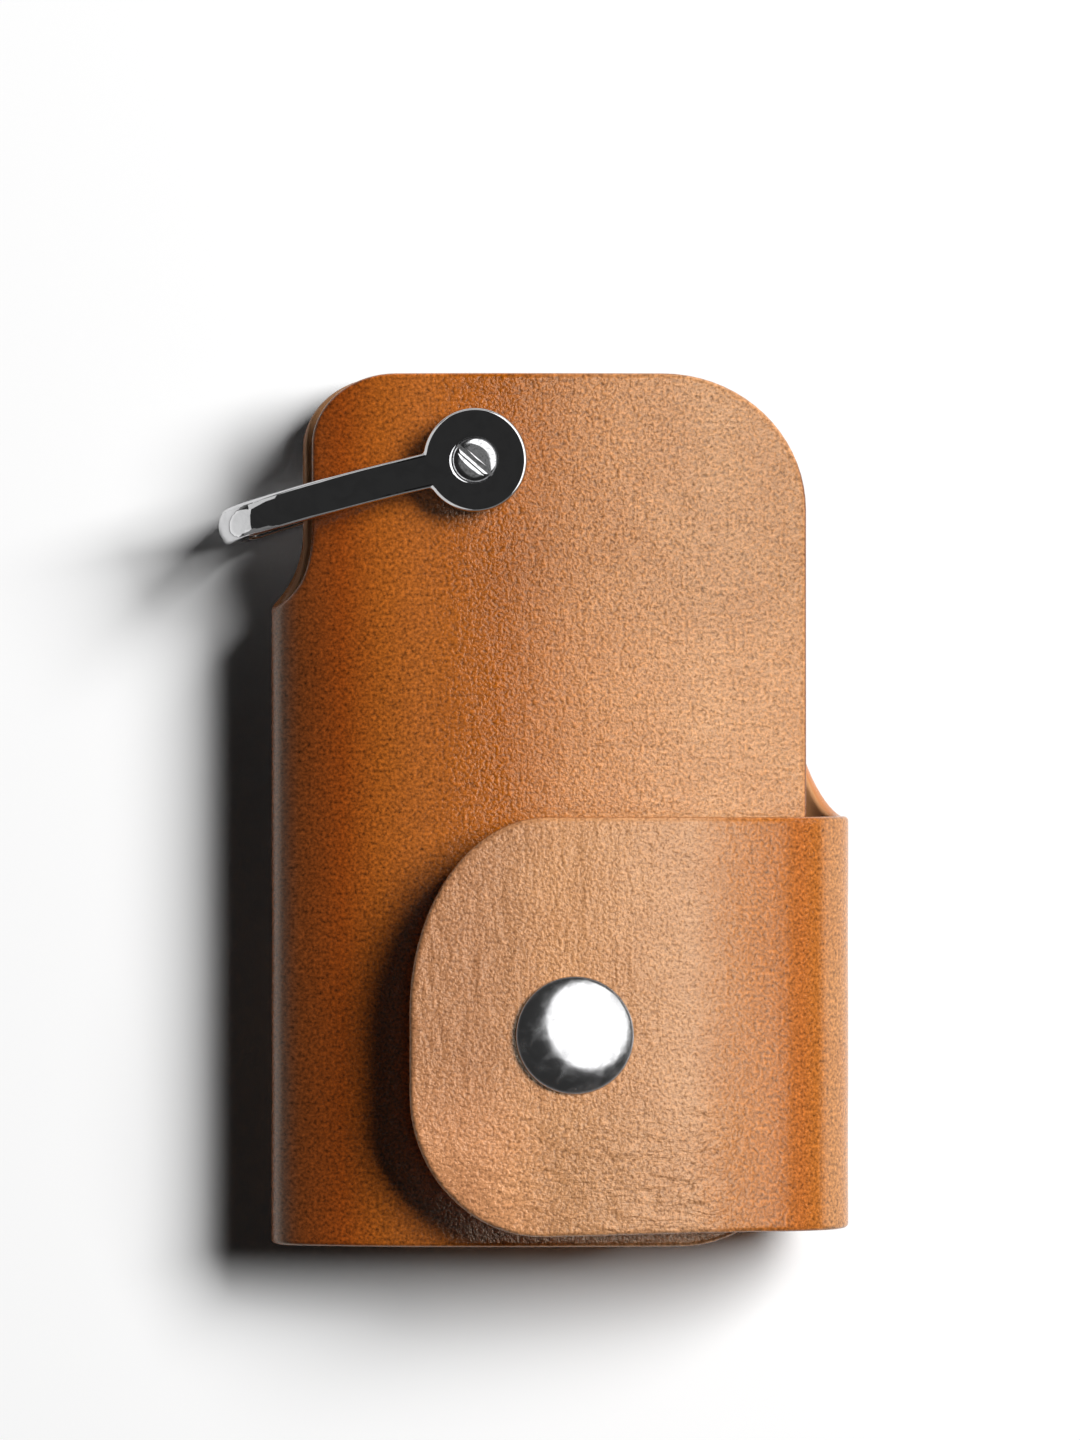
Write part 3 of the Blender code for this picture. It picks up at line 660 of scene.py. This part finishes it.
# %% Turn a profile
def turned(profile, steps=96):
    """A closed profile of radii and heights in millimetres, turned about Z."""
    bm = bmesh.new()
    points = [bm.verts.new((radius * mm, 0, height * mm)) for radius, height in profile]
    edges = [bm.edges.new(pair) for pair in zip(points, points[1:] + points[:1])]
    bmesh.ops.spin(bm, geom=points + edges, cent=(0, 0, 0), axis=(0, 0, 1),
                   angle=2 * math.pi, steps=steps, use_merge=True)
    bmesh.ops.remove_doubles(bm, verts=bm.verts, dist=TINY)
    bmesh.ops.delete(bm, geom=[e for e in bm.edges if not e.link_faces], context="EDGES")
    bmesh.ops.recalc_face_normals(bm, faces=bm.faces)
    return bm


# %% [markdown]
# The screw has a low head with a broad round shoulder and one slot. Years of coins and blades
# have pushed the slot's edges over, and such burrs catch the light beside a dark slot. So the
# tool that cuts it isn't a plain box: its underside has two burrs and one worn slope.

# %% The tool that cuts the slot
SLOT_TURN = math.radians(-41)
SLOT = [  # across the slot towards the lamp, and height above the head, in millimetres
    (-1.12, 0.3), (-1.12, 0.0), (-0.64, -0.13), (-0.5, -0.08), (-0.24, -0.16), (-0.2, -0.75),
    (0.14, -0.75), (0.16, 0.005), (0.3, -0.045), (0.36, 0.01), (0.36, 0.3),
]


def slot_tool():
    """The bar that mills the slot, already turned and in place."""
    bm = bmesh.new()
    bm.faces.new([bm.verts.new((-3.5 * mm, y * mm, z * mm)) for y, z in SLOT])
    thickened(bm, (7 * mm, 0, 0))
    placed(bm, PIVOT + DRAWING_CORNER + Vector((0, 0, SHACKLE_TOP)), SLOT_TURN)
    return as_object("slot", bm)


# %% [markdown]
# The blank of the screw is a profile as well: a smooth shank with a bevelled tip, and a head
# whose shoulder is a quarter of an ellipse.

# %% The slotted screw
SHANK = 1.6
TIP_BEVEL = 0.35
TIP = 0.3
HEAD_FOOT = 13.7
HEAD_RADIUS = 2.43
SHOULDER_FOOT = 14.12
SHOULDER_WIDTH = 1.28
SHOULDER_HEIGHT = 0.44


def shoulder():
    """Radius and height round the head's shoulder, from its side up to its flat top."""
    turns = [math.radians(7.5 * step) for step in range(13)]
    middle = HEAD_RADIUS - SHOULDER_WIDTH
    return [(middle + SHOULDER_WIDTH * math.cos(turn),
             SHOULDER_FOOT + SHOULDER_HEIGHT * math.sin(turn)) for turn in turns]


blank = turned([
    (0, TIP), (SHANK - TIP_BEVEL, TIP), (SHANK, TIP + TIP_BEVEL), (SHANK, HEAD_FOOT),
    (HEAD_RADIUS, HEAD_FOOT), *shoulder(), (0.7, 14.58), (0, 14.6),
])
placed(blank, PIVOT)
screw = finished("slotted_screw", blank, "screw_body", crisp=30)
carved(screw, slot_tool())
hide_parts("key_screw")

# %% [markdown]
# The cap is pressed from thin sheet: a low round dome over a small rolled rim. The dome is part of
# a ball, and the rim rolls under, so a thin dark line shows there. The cap sits tilted by two and
# a half degrees, as one that was set by hand does.

# %% The cap of the snap
CAP_CURVE = 10.6
DOME_EDGE = 6.13
DOME_FOOT = 17.32
ROLL_RADIUS = 6.1
ROLL_HEIGHT = 17.14
ROLL = 0.14
RIVET = [(0, 14.3), (2.1, 14.3), (2.1, 14.48), (1.5, 14.48), (1.5, 16.9), (5.9, 16.9)]
CAP_TILT = math.radians(2.5)
CAP_MIDDLE = (0, 0, 18 * mm)


def dome_height(radius):
    """How high the ball of the dome is over its own centre."""
    return math.sqrt(CAP_CURVE ** 2 - radius ** 2)


def cap_profile():
    """Radius and height: the rivet, the rolled rim, and the dome up to its crown."""
    points = list(RIVET)
    for step in range(9):
        angle = math.radians(-90 + 140 * step / 8)
        points.append((ROLL_RADIUS + ROLL * math.cos(angle), ROLL_HEIGHT + ROLL * math.sin(angle)))
    for step in range(24, -1, -1):
        radius = DOME_EDGE * step / 24
        points.append((radius, DOME_FOOT + dome_height(radius) - dome_height(DOME_EDGE)))
    return points


cap = turned(cap_profile(), 144)
placed(cap, SNAP, CAP_TILT, "Y", CAP_MIDDLE)
cap = finished("snap_dome", cap, "flap_body", crisp=60)
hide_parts("snap_cap")

# %% [markdown]
# Four parts of the snap only show when the flap is open. The socket sits under the flap, a deep
# ring with a hairpin spring in its groove. The stud stands on the panel, and a hollow eyelet
# from inside the pocket holds it. They are pressed from sheet, so no edge of them is sharp: the
# bevel takes every edge that turns by more than about fifty degrees.

# %% The hidden parts of the snap
SOCKET_FOOT = 12.718
SOCKET_TOP = 14.998
STUD_FOOT = 12.218
STUD_TOP = 14.088
PRESSED_EDGE = 0.09 * mm


def pressed(name, profile, body, node):
    """A turned part of the snap with rounded edges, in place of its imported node."""
    bm = turned(profile)
    rounded(bm, [edge for edge in bm.edges if edge.calc_face_angle(0) > 0.9], PRESSED_EDGE, 3)
    placed(bm, SNAP)
    piece = finished(name, bm, body, crisp=35)
    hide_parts(node)
    return piece


socket = pressed("snap_ring", [
    (3.0, SOCKET_FOOT), (3.35, SOCKET_FOOT), (3.5, 12.83), (4.1, 12.83), (4.25, SOCKET_FOOT),
    (4.7, SOCKET_FOOT), (4.9, 12.92), (4.9, 14.55), (4.6, SOCKET_TOP), (1.62, SOCKET_TOP),
    (1.62, 14.6), (3.0, 14.6), (3.0, 13.65), (4.1, 13.65), (4.1, 12.97), (3.0, 12.97),
], "flap_body", "snap_socket")

stud_head = [(2.5 + 0.3 * math.cos(a), 13.83 + 0.258 * math.sin(a)) for a in
             (math.radians(15 * step) for step in range(-5, 7))]
stud = pressed("snap_post", [
    (1.52, STUD_FOOT), (4.5, STUD_FOOT), (4.5, 12.42), (4.3, 12.58), (2.75, 12.6),
    (2.42, 12.68), (2.3, 12.9), (2.3, 13.5), *stud_head, (1.52, STUD_TOP),
], "cover", "snap_stud")

eyelet = pressed("snap_tube", [
    (0.9, 9.468), (3.8, 9.468), (4.0, 9.65), (4.0, 9.818), (1.4, 9.818), (1.4, 13.84),
    (1.23, STUD_TOP), (0.9, STUD_TOP),
], "cover", "snap_eyelet")

# %% [markdown]
# The spring is a bent wire. A small circle is set at each point of its middle line, square to
# the line, and each circle is bridged to the next.

# %% The spring
SPRING_BEND = 3.73
SPRING_GAP = 2.67
SPRING_HEIGHT = 13.278
LEG_END = -2.7
WIRE_RADIUS = 0.25 * mm


def spring_line():
    """The middle line of the hairpin: a leg, the bend and the other leg, in millimetres."""
    open_angle = math.asin(SPRING_GAP / SPRING_BEND)
    turns = [open_angle * step / 12 for step in range(-12, 13)]
    middle = [(SPRING_BEND * math.cos(a), SPRING_BEND * math.sin(a)) for a in turns]
    line = [(LEG_END, -SPRING_GAP), *middle, (LEG_END, SPRING_GAP)]
    return [Vector((x, y, SPRING_HEIGHT)) * mm for x, y in line]


def wire_along(line, radius):
    """A round wire along a level line."""
    bm = bmesh.new()
    upright = Vector((0, 0, 1))
    circles = []
    for before, point, after in zip(line[:1] + line, line, line[1:] + line[-1:]):
        heading = (after - before).normalized()
        aside = heading.cross(upright)
        square = Matrix((upright, aside, heading)).transposed().to_4x4()
        circles.append(bmesh.ops.create_circle(
            bm, segments=16, radius=radius, matrix=Matrix.Translation(point) @ square)["verts"])
    rings = bridged(bm, circles)
    bmesh.ops.holes_fill(bm, edges=rings[0] + rings[-1], sides=0)
    return bm


hairpin = wire_along(spring_line(), WIRE_RADIUS)
placed(hairpin, SNAP)
spring = finished("snap_hairpin", hairpin, "flap_body", crisp=50)
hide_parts("snap_spring")

# %% [markdown]
# ## Finishes
# A material is a small network of nodes, and most of it is arithmetic. The class below wraps one
# socket, so that arithmetic can be written as a Python expression, and every other node comes
# from one method.

# %% Shader arithmetic
class Wire:
    """A shader socket that can be added and multiplied like a number."""

    def __init__(self, tree, socket=None):
        self.tree = tree
        self.socket = socket

    def node(self, kind, settings, sockets, output=0):
        """A node of a given type: its settings first, then the values or links of its sockets."""
        node = self.tree.nodes.new(kind)
        for name, value in settings.items():
            if name == "stops":
                self.fill(node.color_ramp, value)
            else:
                setattr(node, name, value)
        for name, value in sockets.items():
            if isinstance(value, Wire):
                self.tree.links.new(value.socket, node.inputs[name])
            else:
                node.inputs[name].default_value = value
        return Wire(self.tree, node.outputs[output])

    def beside(self, output):
        """Another output of the same node."""
        return Wire(self.tree, self.socket.node.outputs[output])

    def feed(self, socket):
        """Links this wire to a shader's socket."""
        self.tree.links.new(self.socket, socket)

    @staticmethod
    def fill(ramp, stops):
        """Sets a colour ramp's stops."""
        while len(ramp.elements) < len(stops):
            ramp.elements.new(0.5)
        for element, (place, colour) in zip(ramp.elements, stops):
            element.position = place
            element.color = (*colour, 1)

    def maths(self, operation, first, second=0.0):
        """A Math node on two values."""
        return self.node("ShaderNodeMath", {"operation": operation}, {0: first, 1: second})

    def __add__(self, other):
        return self.maths("ADD", self, other)

    def __sub__(self, other):
        return self.maths("SUBTRACT", self, other)

    def __rsub__(self, other):
        return self.maths("SUBTRACT", other, self)

    def __mul__(self, other):
        return self.maths("MULTIPLY", self, other)

    def __truediv__(self, other):
        return self.maths("DIVIDE", self, other)

    __radd__ = __add__

    def between(self, low, high):
        """0 below low, 1 above high and a smooth step from one to the other."""
        return self.node("ShaderNodeMapRange", {"interpolation_type": "SMOOTHSTEP"},
                         {"Value": self, "From Min": low, "From Max": high})

    def times(self, factor):
        """A colour made lighter or darker by a factor."""
        return self.node("ShaderNodeVectorMath", {"operation": "SCALE"},
                         {"Vector": self, "Scale": factor})

    def mix(self, first, second):
        """A colour between two others, with this wire as the factor."""
        return self.node("ShaderNodeMix", {"data_type": "RGBA"}, {0: self, 6: first, 7: second}, 2)


def new_finish(name):
    """A material with a Principled BSDF, and a first wire of its tree."""
    finish = bpy.data.materials.new(name)
    finish.use_nodes = True
    return finish, finish.node_tree.nodes["Principled BSDF"], Wire(finish.node_tree)


def colour(red, green, blue):
    """A colour in the 0 to 255 steps of a paint program, as Blender's linear light."""
    def linear(value):
        value /= 255
        return value / 12.92 if value <= 0.04045 else ((value + 0.055) / 1.055) ** 2.4
    return (linear(red), linear(green), linear(blue), 1)


# %% [markdown]
# ### Tan leather
# The hide is tanned with bark and waxed, and it isn't the same everywhere. Soft masks mark its
# zones. They read the place on the flat strip that each vertex kept, so they bend with the leather.

# %% Zones of the hide
def hide_zones(along, up, depth):
    """Masks that are 1 inside a zone and 0 outside, with soft borders."""
    flap_start = START["flap"]
    on_flap = along.between(flap_start + 2 * mm, flap_start + 10 * mm)
    low = 1 - up.between(9 * mm, 22 * mm)
    far_end = along.between(flap_start + 24 * mm, flap_start + 30 * mm)
    near_snap = along.between(flap_start + 8 * mm, flap_start + 23 * mm)
    fold_begun = along.between(START["fold"], START["fold"] + 6 * mm)
    fold_over = along.between(flap_start + 1 * mm, flap_start + 7 * mm)
    return SimpleNamespace(
        on_flap=on_flap,
        low=low,
        left=along.between(front_along(26 * mm), front_along(14 * mm)) * (1 - on_flap),
        right=1 - along.between(front_along(47 * mm), front_along(30 * mm)),
        far_end=far_end,
        # painted shade on the flap below the snap
        painted_shade_by_snap=low * near_snap * (1 - far_end),
        top=up.between(60 * mm, 72 * mm),
        curled=fold_begun * (1 - fold_over),
        past_root=along.between(flap_start + 8 * mm, flap_start + 20 * mm),
        flesh=depth.between(0.9 * mm, 1.3 * mm),
    )


# %% [markdown]
# The grain is a fine relief of bumps less than half a millimetre across. Pores lie where a noise
# crosses its middle value, which gives thin winding lines. Two slow noises make stains and clouds.

# %% Patterns of the hide
def spots(place, scale, detail=2.0, distortion=0.0, stretch=None):
    """A noise over a place, squeezed or drawn out along the axes where a stretch is given."""
    if stretch:
        place = place.node("ShaderNodeMapping", {}, {"Vector": place, "Scale": stretch})
    return place.node("ShaderNodeTexNoise", {}, {
        "Vector": place, "Scale": scale, "Detail": detail, "Distortion": distortion})


def hide_patterns(place):
    """The noises that colour, gloss and relief share."""
    from_middle = place.node(
        "ShaderNodeMath", {"operation": "ABSOLUTE"}, {0: spots(place, 1500, 2.0, 0.6) - 0.5})
    return SimpleNamespace(
        fine=spots(place, 3000),
        grain=spots(place, 1700, 2.0, 0.5),
        pores=from_middle.between(0, 0.04),
        mottle=spots(place, 170, 4),
        cloud=spots(place, 42, 3),
    )


# %% [markdown]
# The base colour is a ramp along the strip. Part of it is the hide's own tone, and part is painted
# light: painted shade towards the spine and in the fold, painted sheen where the front's right side
# and the flap are pale, and a painted reflection round the spine's edge. The colours are written as
# a paint program shows them.

# %% Tones and painted light along the strip
def tones_with_painted_light():
    """Stops from the front panel's free edge to the end of the flap, with painted shade, sheen and
    reflection among them.
    """
    flap_start = START["flap"]
    # Painted shade: the dark stops near the spine and in the fold. Painted sheen: the pale stops on
    # the front's right and on the flap. Painted reflection: the pale stops round the spine's edge.
    tones = [
        (0, (197, 143, 98)),
        (front_along(46 * mm), (201, 147, 102)),
        (front_along(33 * mm), (196, 131, 78)),
        (front_along(24.3 * mm), (170, 90, 8)),
        (front_along(15.9 * mm), (177, 99, 37)),
        (front_along(11.6 * mm), (170, 91, 27)),
        (front_along(7.4 * mm), (146, 68, 16)),
        (START["spine"], (110, 56, 22)),
        (START["spine"] + 2.4 * mm, (146, 98, 70)),
        (START["spine"] + 5 * mm, (208, 126, 84)),
        (START["back"] + 4 * mm, (140, 78, 34)),
        (START["back"] + 22 * mm, (184, 116, 58)),
        (START["fold"], (176, 102, 48)),
        (flap_start - 10 * mm, (168, 116, 68)),
        (flap_start - 6.3 * mm, (164, 112, 66)),
        (flap_start - 4 * mm, (164, 96, 38)),
        (flap_start - 1.8 * mm, (176, 100, 44)),
        (flap_start + 2 * mm, (178, 107, 48)),
        (flap_start + 6 * mm, (184, 122, 72)),
        (flap_start + 10 * mm, (205, 153, 111)),
        (flap_start + 24 * mm, (212, 153, 104)),
        (flap_start + 33 * mm, (202, 142, 98)),
    ]
    return [(along / STRIP, colour(*tone)[:3]) for along, tone in tones]


# %% [markdown]
# Over that ramp lie the clouds, then painted shade on the flap below the snap and lighter or darker
# patches on the flap's far end and the front's top, then the speckle of the grain, stronger on the
# left and weaker on the flap, then the dark pits between the bumps. The flesh side and the burnished
# rim have colours of their own, partly painted light: they are made lighter where they lie in shade.
# The cut end of the front panel is darkened as painted shade.

# %% Colour of the hide
STAIN = colour(140, 70, 24)
PIT = colour(110, 52, 14)
# the flesh side's own pale tan, made lighter as painted light where it lies in shade inside the fold
FLESH_DARK_WITH_PAINTED_LIGHT = colour(178, 124, 82)
FLESH_PALE_WITH_PAINTED_LIGHT = colour(194, 142, 98)
# the burnished rim's own colour, made lighter as painted light on rims that lie in shade
BURNISHED_WITH_PAINTED_LIGHT = colour(172, 110, 64)
# painted shade for the front panel's cut rim
CUT_END_SHADE = colour(104, 54, 22)


def hide_colour(along, rim, zone, pattern):
    """The base colour, from the ramp to the burnished rim."""
    body = along.node("ShaderNodeValToRGB", {"stops": tones_with_painted_light()}, {"Fac": along / STRIP})
    clouds = pattern.mottle.between(0.3, 0.7) * 0.5 + pattern.cloud.between(0.3, 0.7) * 0.5
    body = (clouds * 0.2).mix(body, STAIN)
    contrast = 1.7 + zone.left * 0.6 - zone.on_flap * (0.65 - zone.low * 0.25)
    contrast = contrast - zone.curled * 0.15
    # Painted shade darkens the flap below the snap. The flap's far end is made darker at the top and
    # lighter low down, and the front's top darker on the right and lighter on the left.
    shade = zone.painted_shade_by_snap * 0.14 + zone.far_end * (0.14 - zone.low * 0.36)
    shade = shade + zone.top * (0.13 - zone.left * 0.24)
    speckle = (pattern.fine - 0.5) * 1.1 + (pattern.grain - 0.5) * 0.5
    body = body.times(1 - shade + speckle * contrast)
    pits = pattern.fine.between(0.5, 0.35) * 0.25 + (1 - pattern.pores) * 0.1
    body = (pits * (1 - zone.right * 0.75 - zone.left * 0.85)).mix(body, PIT)
    # The flesh side is partly its own pale colour and partly painted light inside the shaded fold.
    body = zone.flesh.mix(body, pattern.mottle.mix(FLESH_DARK_WITH_PAINTED_LIGHT, FLESH_PALE_WITH_PAINTED_LIGHT))
    # The burnished rim is partly its own finish and partly painted light, lighter where it lies in
    # shade.
    body = rim.between(0.3, 0.8).mix(body, BURNISHED_WITH_PAINTED_LIGHT)
    # Painted shade: the rim of the front panel's cut end is darkened where the lamp lights it.
    cut_end_shade = rim.between(0.05, 0.35) * (1 - along.between(0.5 * mm, 1.5 * mm))
    return cut_end_shade.mix(body, CUT_END_SHADE)


# %% [markdown]
# The relief goes into a Bump node: the same grain, and longer wrinkles over it. They run
# lengthwise on the upper flap and crosswise below the snap, where the flap is worked. Polishing
# has levelled the left side, and the flesh side is only brushed.

# %% Relief of the hide
def hide_relief(place, zone, pattern):
    """The height of the grain and its wrinkles."""
    lengthwise = (spots(place, 900, 3, 0.6, (1.0, 0.34, 1.0))
                  + spots(place, 420, 3, 0.8, (1.0, 0.5, 1.0)) * 1.2)
    crosswise = (spots(place, 900, 3, 0.6, (0.36, 1.0, 1.0))
                 + spots(place, 380, 3, 0.8, (0.6, 1.0, 1.0)) * 1.2)
    across = (zone.on_flap * zone.low + (1 - zone.on_flap) * (0.6 + zone.right * 0.3)
              + zone.on_flap * (1 - zone.past_root) * 0.7)
    wrinkles = lengthwise * (1 - across) + crosswise * across
    strength = 1.15 + zone.right * 0.75 + zone.on_flap * 0.2 + zone.on_flap * zone.low
    relief = pattern.fine * 0.9 + pattern.grain + wrinkles * strength
    return relief * (1 - zone.left * 0.75) * (1 - zone.flesh * 0.6)


# %% [markdown]
# Then all of it goes into one shader. Waxed leather is rather glossy, and duller in its pores and
# on the flesh side. Its sheen has a little of the leather's own warmth.

# %% Mix the leather
GRAIN_DEPTH = 0.07 * mm


def bumped(height, distance):
    """A normal that follows a height, with the depth of its relief in metres."""
    return height.node(
        "ShaderNodeBump", {}, {"Strength": 1.0, "Distance": distance, "Height": height})


def leather_finish():
    """The material of the whole sheet."""
    finish, shader, wire = new_finish("tan_leather")
    place = wire.node("ShaderNodeAttribute", {"attribute_name": "flat_place"}, {}, 1)
    rim = wire.node("ShaderNodeAttribute", {"attribute_name": "rim"}, {}, 2)
    along = wire.node("ShaderNodeSeparateXYZ", {}, {0: place})
    zone = hide_zones(along, along.beside(1), along.beside(2))
    pattern = hide_patterns(place)
    hide_colour(along, rim, zone, pattern).feed(shader.inputs["Base Color"])
    gloss = 0.2 + (1 - pattern.pores) * 0.08 + pattern.mottle * 0.05 + zone.flesh * 0.3
    gloss.feed(shader.inputs["Roughness"])
    bumped(hide_relief(place, zone, pattern), GRAIN_DEPTH).feed(shader.inputs["Normal"])
    shader.inputs["Specular IOR Level"].default_value = 0.7
    shader.inputs["Specular Tint"].default_value = (1, 0.85, 0.68, 1)
    return finish


tan_leather = leather_finish()
wrap.data.materials.append(tan_leather)
flap.data.materials.append(tan_leather)
print("the leather has", len(tan_leather.node_tree.nodes), "nodes")

# %% [markdown]
# ### Steel and plating
# Polished steel is almost a mirror, so most of what it shows is the studio. What makes it look
# real are the faint unevenness of hand polishing and the slightly duller, smudged patches.

# %% Mix the metals
POLISHING_WAVES = 900
SCRATCHES = 1500
SMUDGE_DARK = 0.3


def metal_finish(name, base, roughness, unevenness, haze=0.03, stain=0.35, patches=620.0):
    """Base colour, roughness, depth of the polishing waves in mm, how dull and how dark the
    smudges are, and how many of them there are in a metre."""
    finish, shader, wire = new_finish(name)
    place = wire.node("ShaderNodeTexCoord", {}, {}, 3)
    waves = spots(place, POLISHING_WAVES, 3)
    scratch = spots(place, SCRATCHES, 2, 0.0, (1, 14, 1))
    dull = spots(place, patches, 6, 0.6).between(0.4, 0.7)
    smudged = (*(share * SMUDGE_DARK for share in base[:3]), 1)
    (dull * stain).mix(base, smudged).feed(shader.inputs["Base Color"])
    (roughness + dull * haze + scratch * 0.01).feed(shader.inputs["Roughness"])
    bumped(waves, unevenness * mm).feed(shader.inputs["Normal"])
    shader.inputs["Metallic"].default_value = 1.0
    return finish


steel = metal_finish("polished_steel", colour(205, 205, 206), 0.035, 0.003, stain=0.15)
screw_steel = metal_finish("screw_steel", colour(195, 195, 196), 0.1, 0.01, 0.1, 0.6, 2300.0)
cap_steel = metal_finish("cap_steel", colour(215, 215, 216), 0.15, 0.012, 0.12, 0.15)
plate = metal_finish("plated_snap", colour(196, 194, 190), 0.2, 0.004, stain=0.15)
spring_steel = metal_finish("spring_steel", colour(158, 160, 166), 0.25, 0.004)
for piece, metal in ((shackle, steel), (screw, screw_steel), (cap, cap_steel), (socket, plate),
                     (stud, plate), (eyelet, plate), (spring, spring_steel)):
    piece.data.materials.append(metal)
    print(piece.name, "is of", metal.name)

# %% [markdown]
# ## The studio
# The cover lies on a white table. One large soft lamp stands at the upper right, so the shadow
# falls to the left and below. The leather's own colour would tint the shadow beside it, and the
# photograph shows that one grey, so the light that the table scatters doesn't meet the wrap.

# %% Table and lamp
def table_top():
    """A white table under the cover that belongs to the studio, not to the model."""
    bm = bmesh.new()
    bmesh.ops.create_grid(bm, x_segments=1, y_segments=1, size=20)
    table = as_object("table", bm)
    finish, shader, _ = new_finish("white_table")
    shader.inputs["Base Color"].default_value = (1, 1, 1, 1)
    shader.inputs["Roughness"].default_value = 0.9
    shader.inputs["Specular IOR Level"].default_value = 0.1
    table.data.materials.append(finish)


def soft_lamp(name, azimuth, off_vertical, distance, size, power):
    """An area lamp that looks at the cover. Azimuth is counted from +X towards +Y, and the size
    is first across that direction, then along it."""
    lamp = bpy.data.lights.new(name, "AREA")
    lamp.shape = "RECTANGLE"
    lamp.size, lamp.size_y = size
    lamp.energy = power
    obj = bpy.data.objects.new(name, lamp)
    bpy.context.scene.collection.objects.link(obj)
    a, v = math.radians(azimuth), math.radians(off_vertical)
    towards = Vector((math.sin(v) * math.cos(a), math.sin(v) * math.sin(a), math.cos(v)))
    obj.location = towards * distance
    obj.rotation_mode = "QUATERNION"
    obj.rotation_quaternion = towards.to_track_quat("Z", "Y")
    return obj


table_top()
key = soft_lamp("key_lamp", 27, 52.7, 2.2, (1.3, 0.95), 86)
key.visible_glossy = False
wrap.visible_diffuse = False
print("the lamp stands", round(key.location.length, 2), "m away")

# %% [markdown]
# Steel and waxed leather show what stands around them. Each bright card lights only the gloss of
# the pieces that it is linked to. It is given a brightness instead of a power, so it stays equally
# bright when its size changes.

# %% Cards for the gloss
def card(name, azimuth, off_vertical, size, brightness, pieces, shape="RECTANGLE"):
    """A bright card one metre away, for the gloss of the given pieces."""
    area = size[0] * size[1] * (math.pi / 4 if shape == "ELLIPSE" else 1)
    obj = soft_lamp(name, azimuth, off_vertical, 1.0, size, brightness * math.pi * area)
    obj.data.shape = shape
    obj.visible_diffuse = False
    obj.light_linking.receiver_collection = bpy.data.collections.new(name)
    for piece in pieces:
        obj.light_linking.receiver_collection.objects.link(piece)


card("leather_card", 10, 12.5, (0.7, 0.24), 5.4, [wrap, flap])
card("rim_card", 5, 78, (0.7, 0.3), 1.8, [flap])
card("spine_card", 180, 74, (1.0, 0.5), 0.2, [wrap])
card("arm_card", 18, 52, (1.9, 0.8), 2.6, [shackle])
card("bow_card", 193, 53, (2.6, 1.41), 0.9, [shackle])
card("edge_card", 100, 62, (0.8, 0.5), 0.8, [shackle])
card("low_card", 283, 62, (1.2, 0.5), 0.25, [shackle])
card("snap_card", 40, 30, (1.4, 1.4), 1.0, [socket, stud, eyelet, spring])
card("screw_card", 42, 50, (1.7, 1.5), 2.6, [screw])
card("screw_haze", 222, 4, (0.6, 0.5), 0.22, [screw])
card("cap_card", 26, 23, (2.5, 2.2), 1.9, [cap], "ELLIPSE")
print("the studio has", len(bpy.data.lights), "lamps and cards")

# %% [markdown]
# The room is white to the camera, and gives almost no light of its own. In a reflection it is
# dark overhead, which is what makes polished steel look black where it is flat, and brighter
# towards the horizon.

# %% The room
HORIZON_LIGHT = 0.25
CEILING_LIGHT = 0.03
ROOM_LIGHT = 0.006
world = bpy.data.worlds.new("room")
bpy.context.scene.world = world
world.use_nodes = True
room = world.node_tree.nodes["Background"]
wire = Wire(world.node_tree)
seen = wire.node("ShaderNodeLightPath", {}, {}, 0)
mirrored = seen.beside("Is Glossy Ray")
direction = wire.node("ShaderNodeTexCoord", {}, {}, 0)
height = wire.node("ShaderNodeSeparateXYZ", {}, {0: direction}, 2)
horizon = 1 - height.between(0.0, 0.3)
strength = seen + mirrored * (horizon * HORIZON_LIGHT + CEILING_LIGHT) + (1 - seen) * ROOM_LIGHT
strength.feed(room.inputs["Strength"])
room.inputs["Color"].default_value = (1, 1, 1, 1)
print("the room's light takes", len(world.node_tree.nodes), "nodes")

# %% [markdown]
# The camera looks straight down from far away through a long lens, as in the photograph.

# %% Camera
lens = bpy.data.cameras.new("camera")
lens.sensor_width = 36
lens.lens = 174.06
lens.clip_end = 50
camera = bpy.data.objects.new("camera", lens)
bpy.context.scene.collection.objects.link(camera)
camera.location = (0.6 * mm, 9.55 * mm, 750 * mm)
bpy.context.scene.camera = camera
bpy.context.scene.view_settings.view_transform = "Standard"
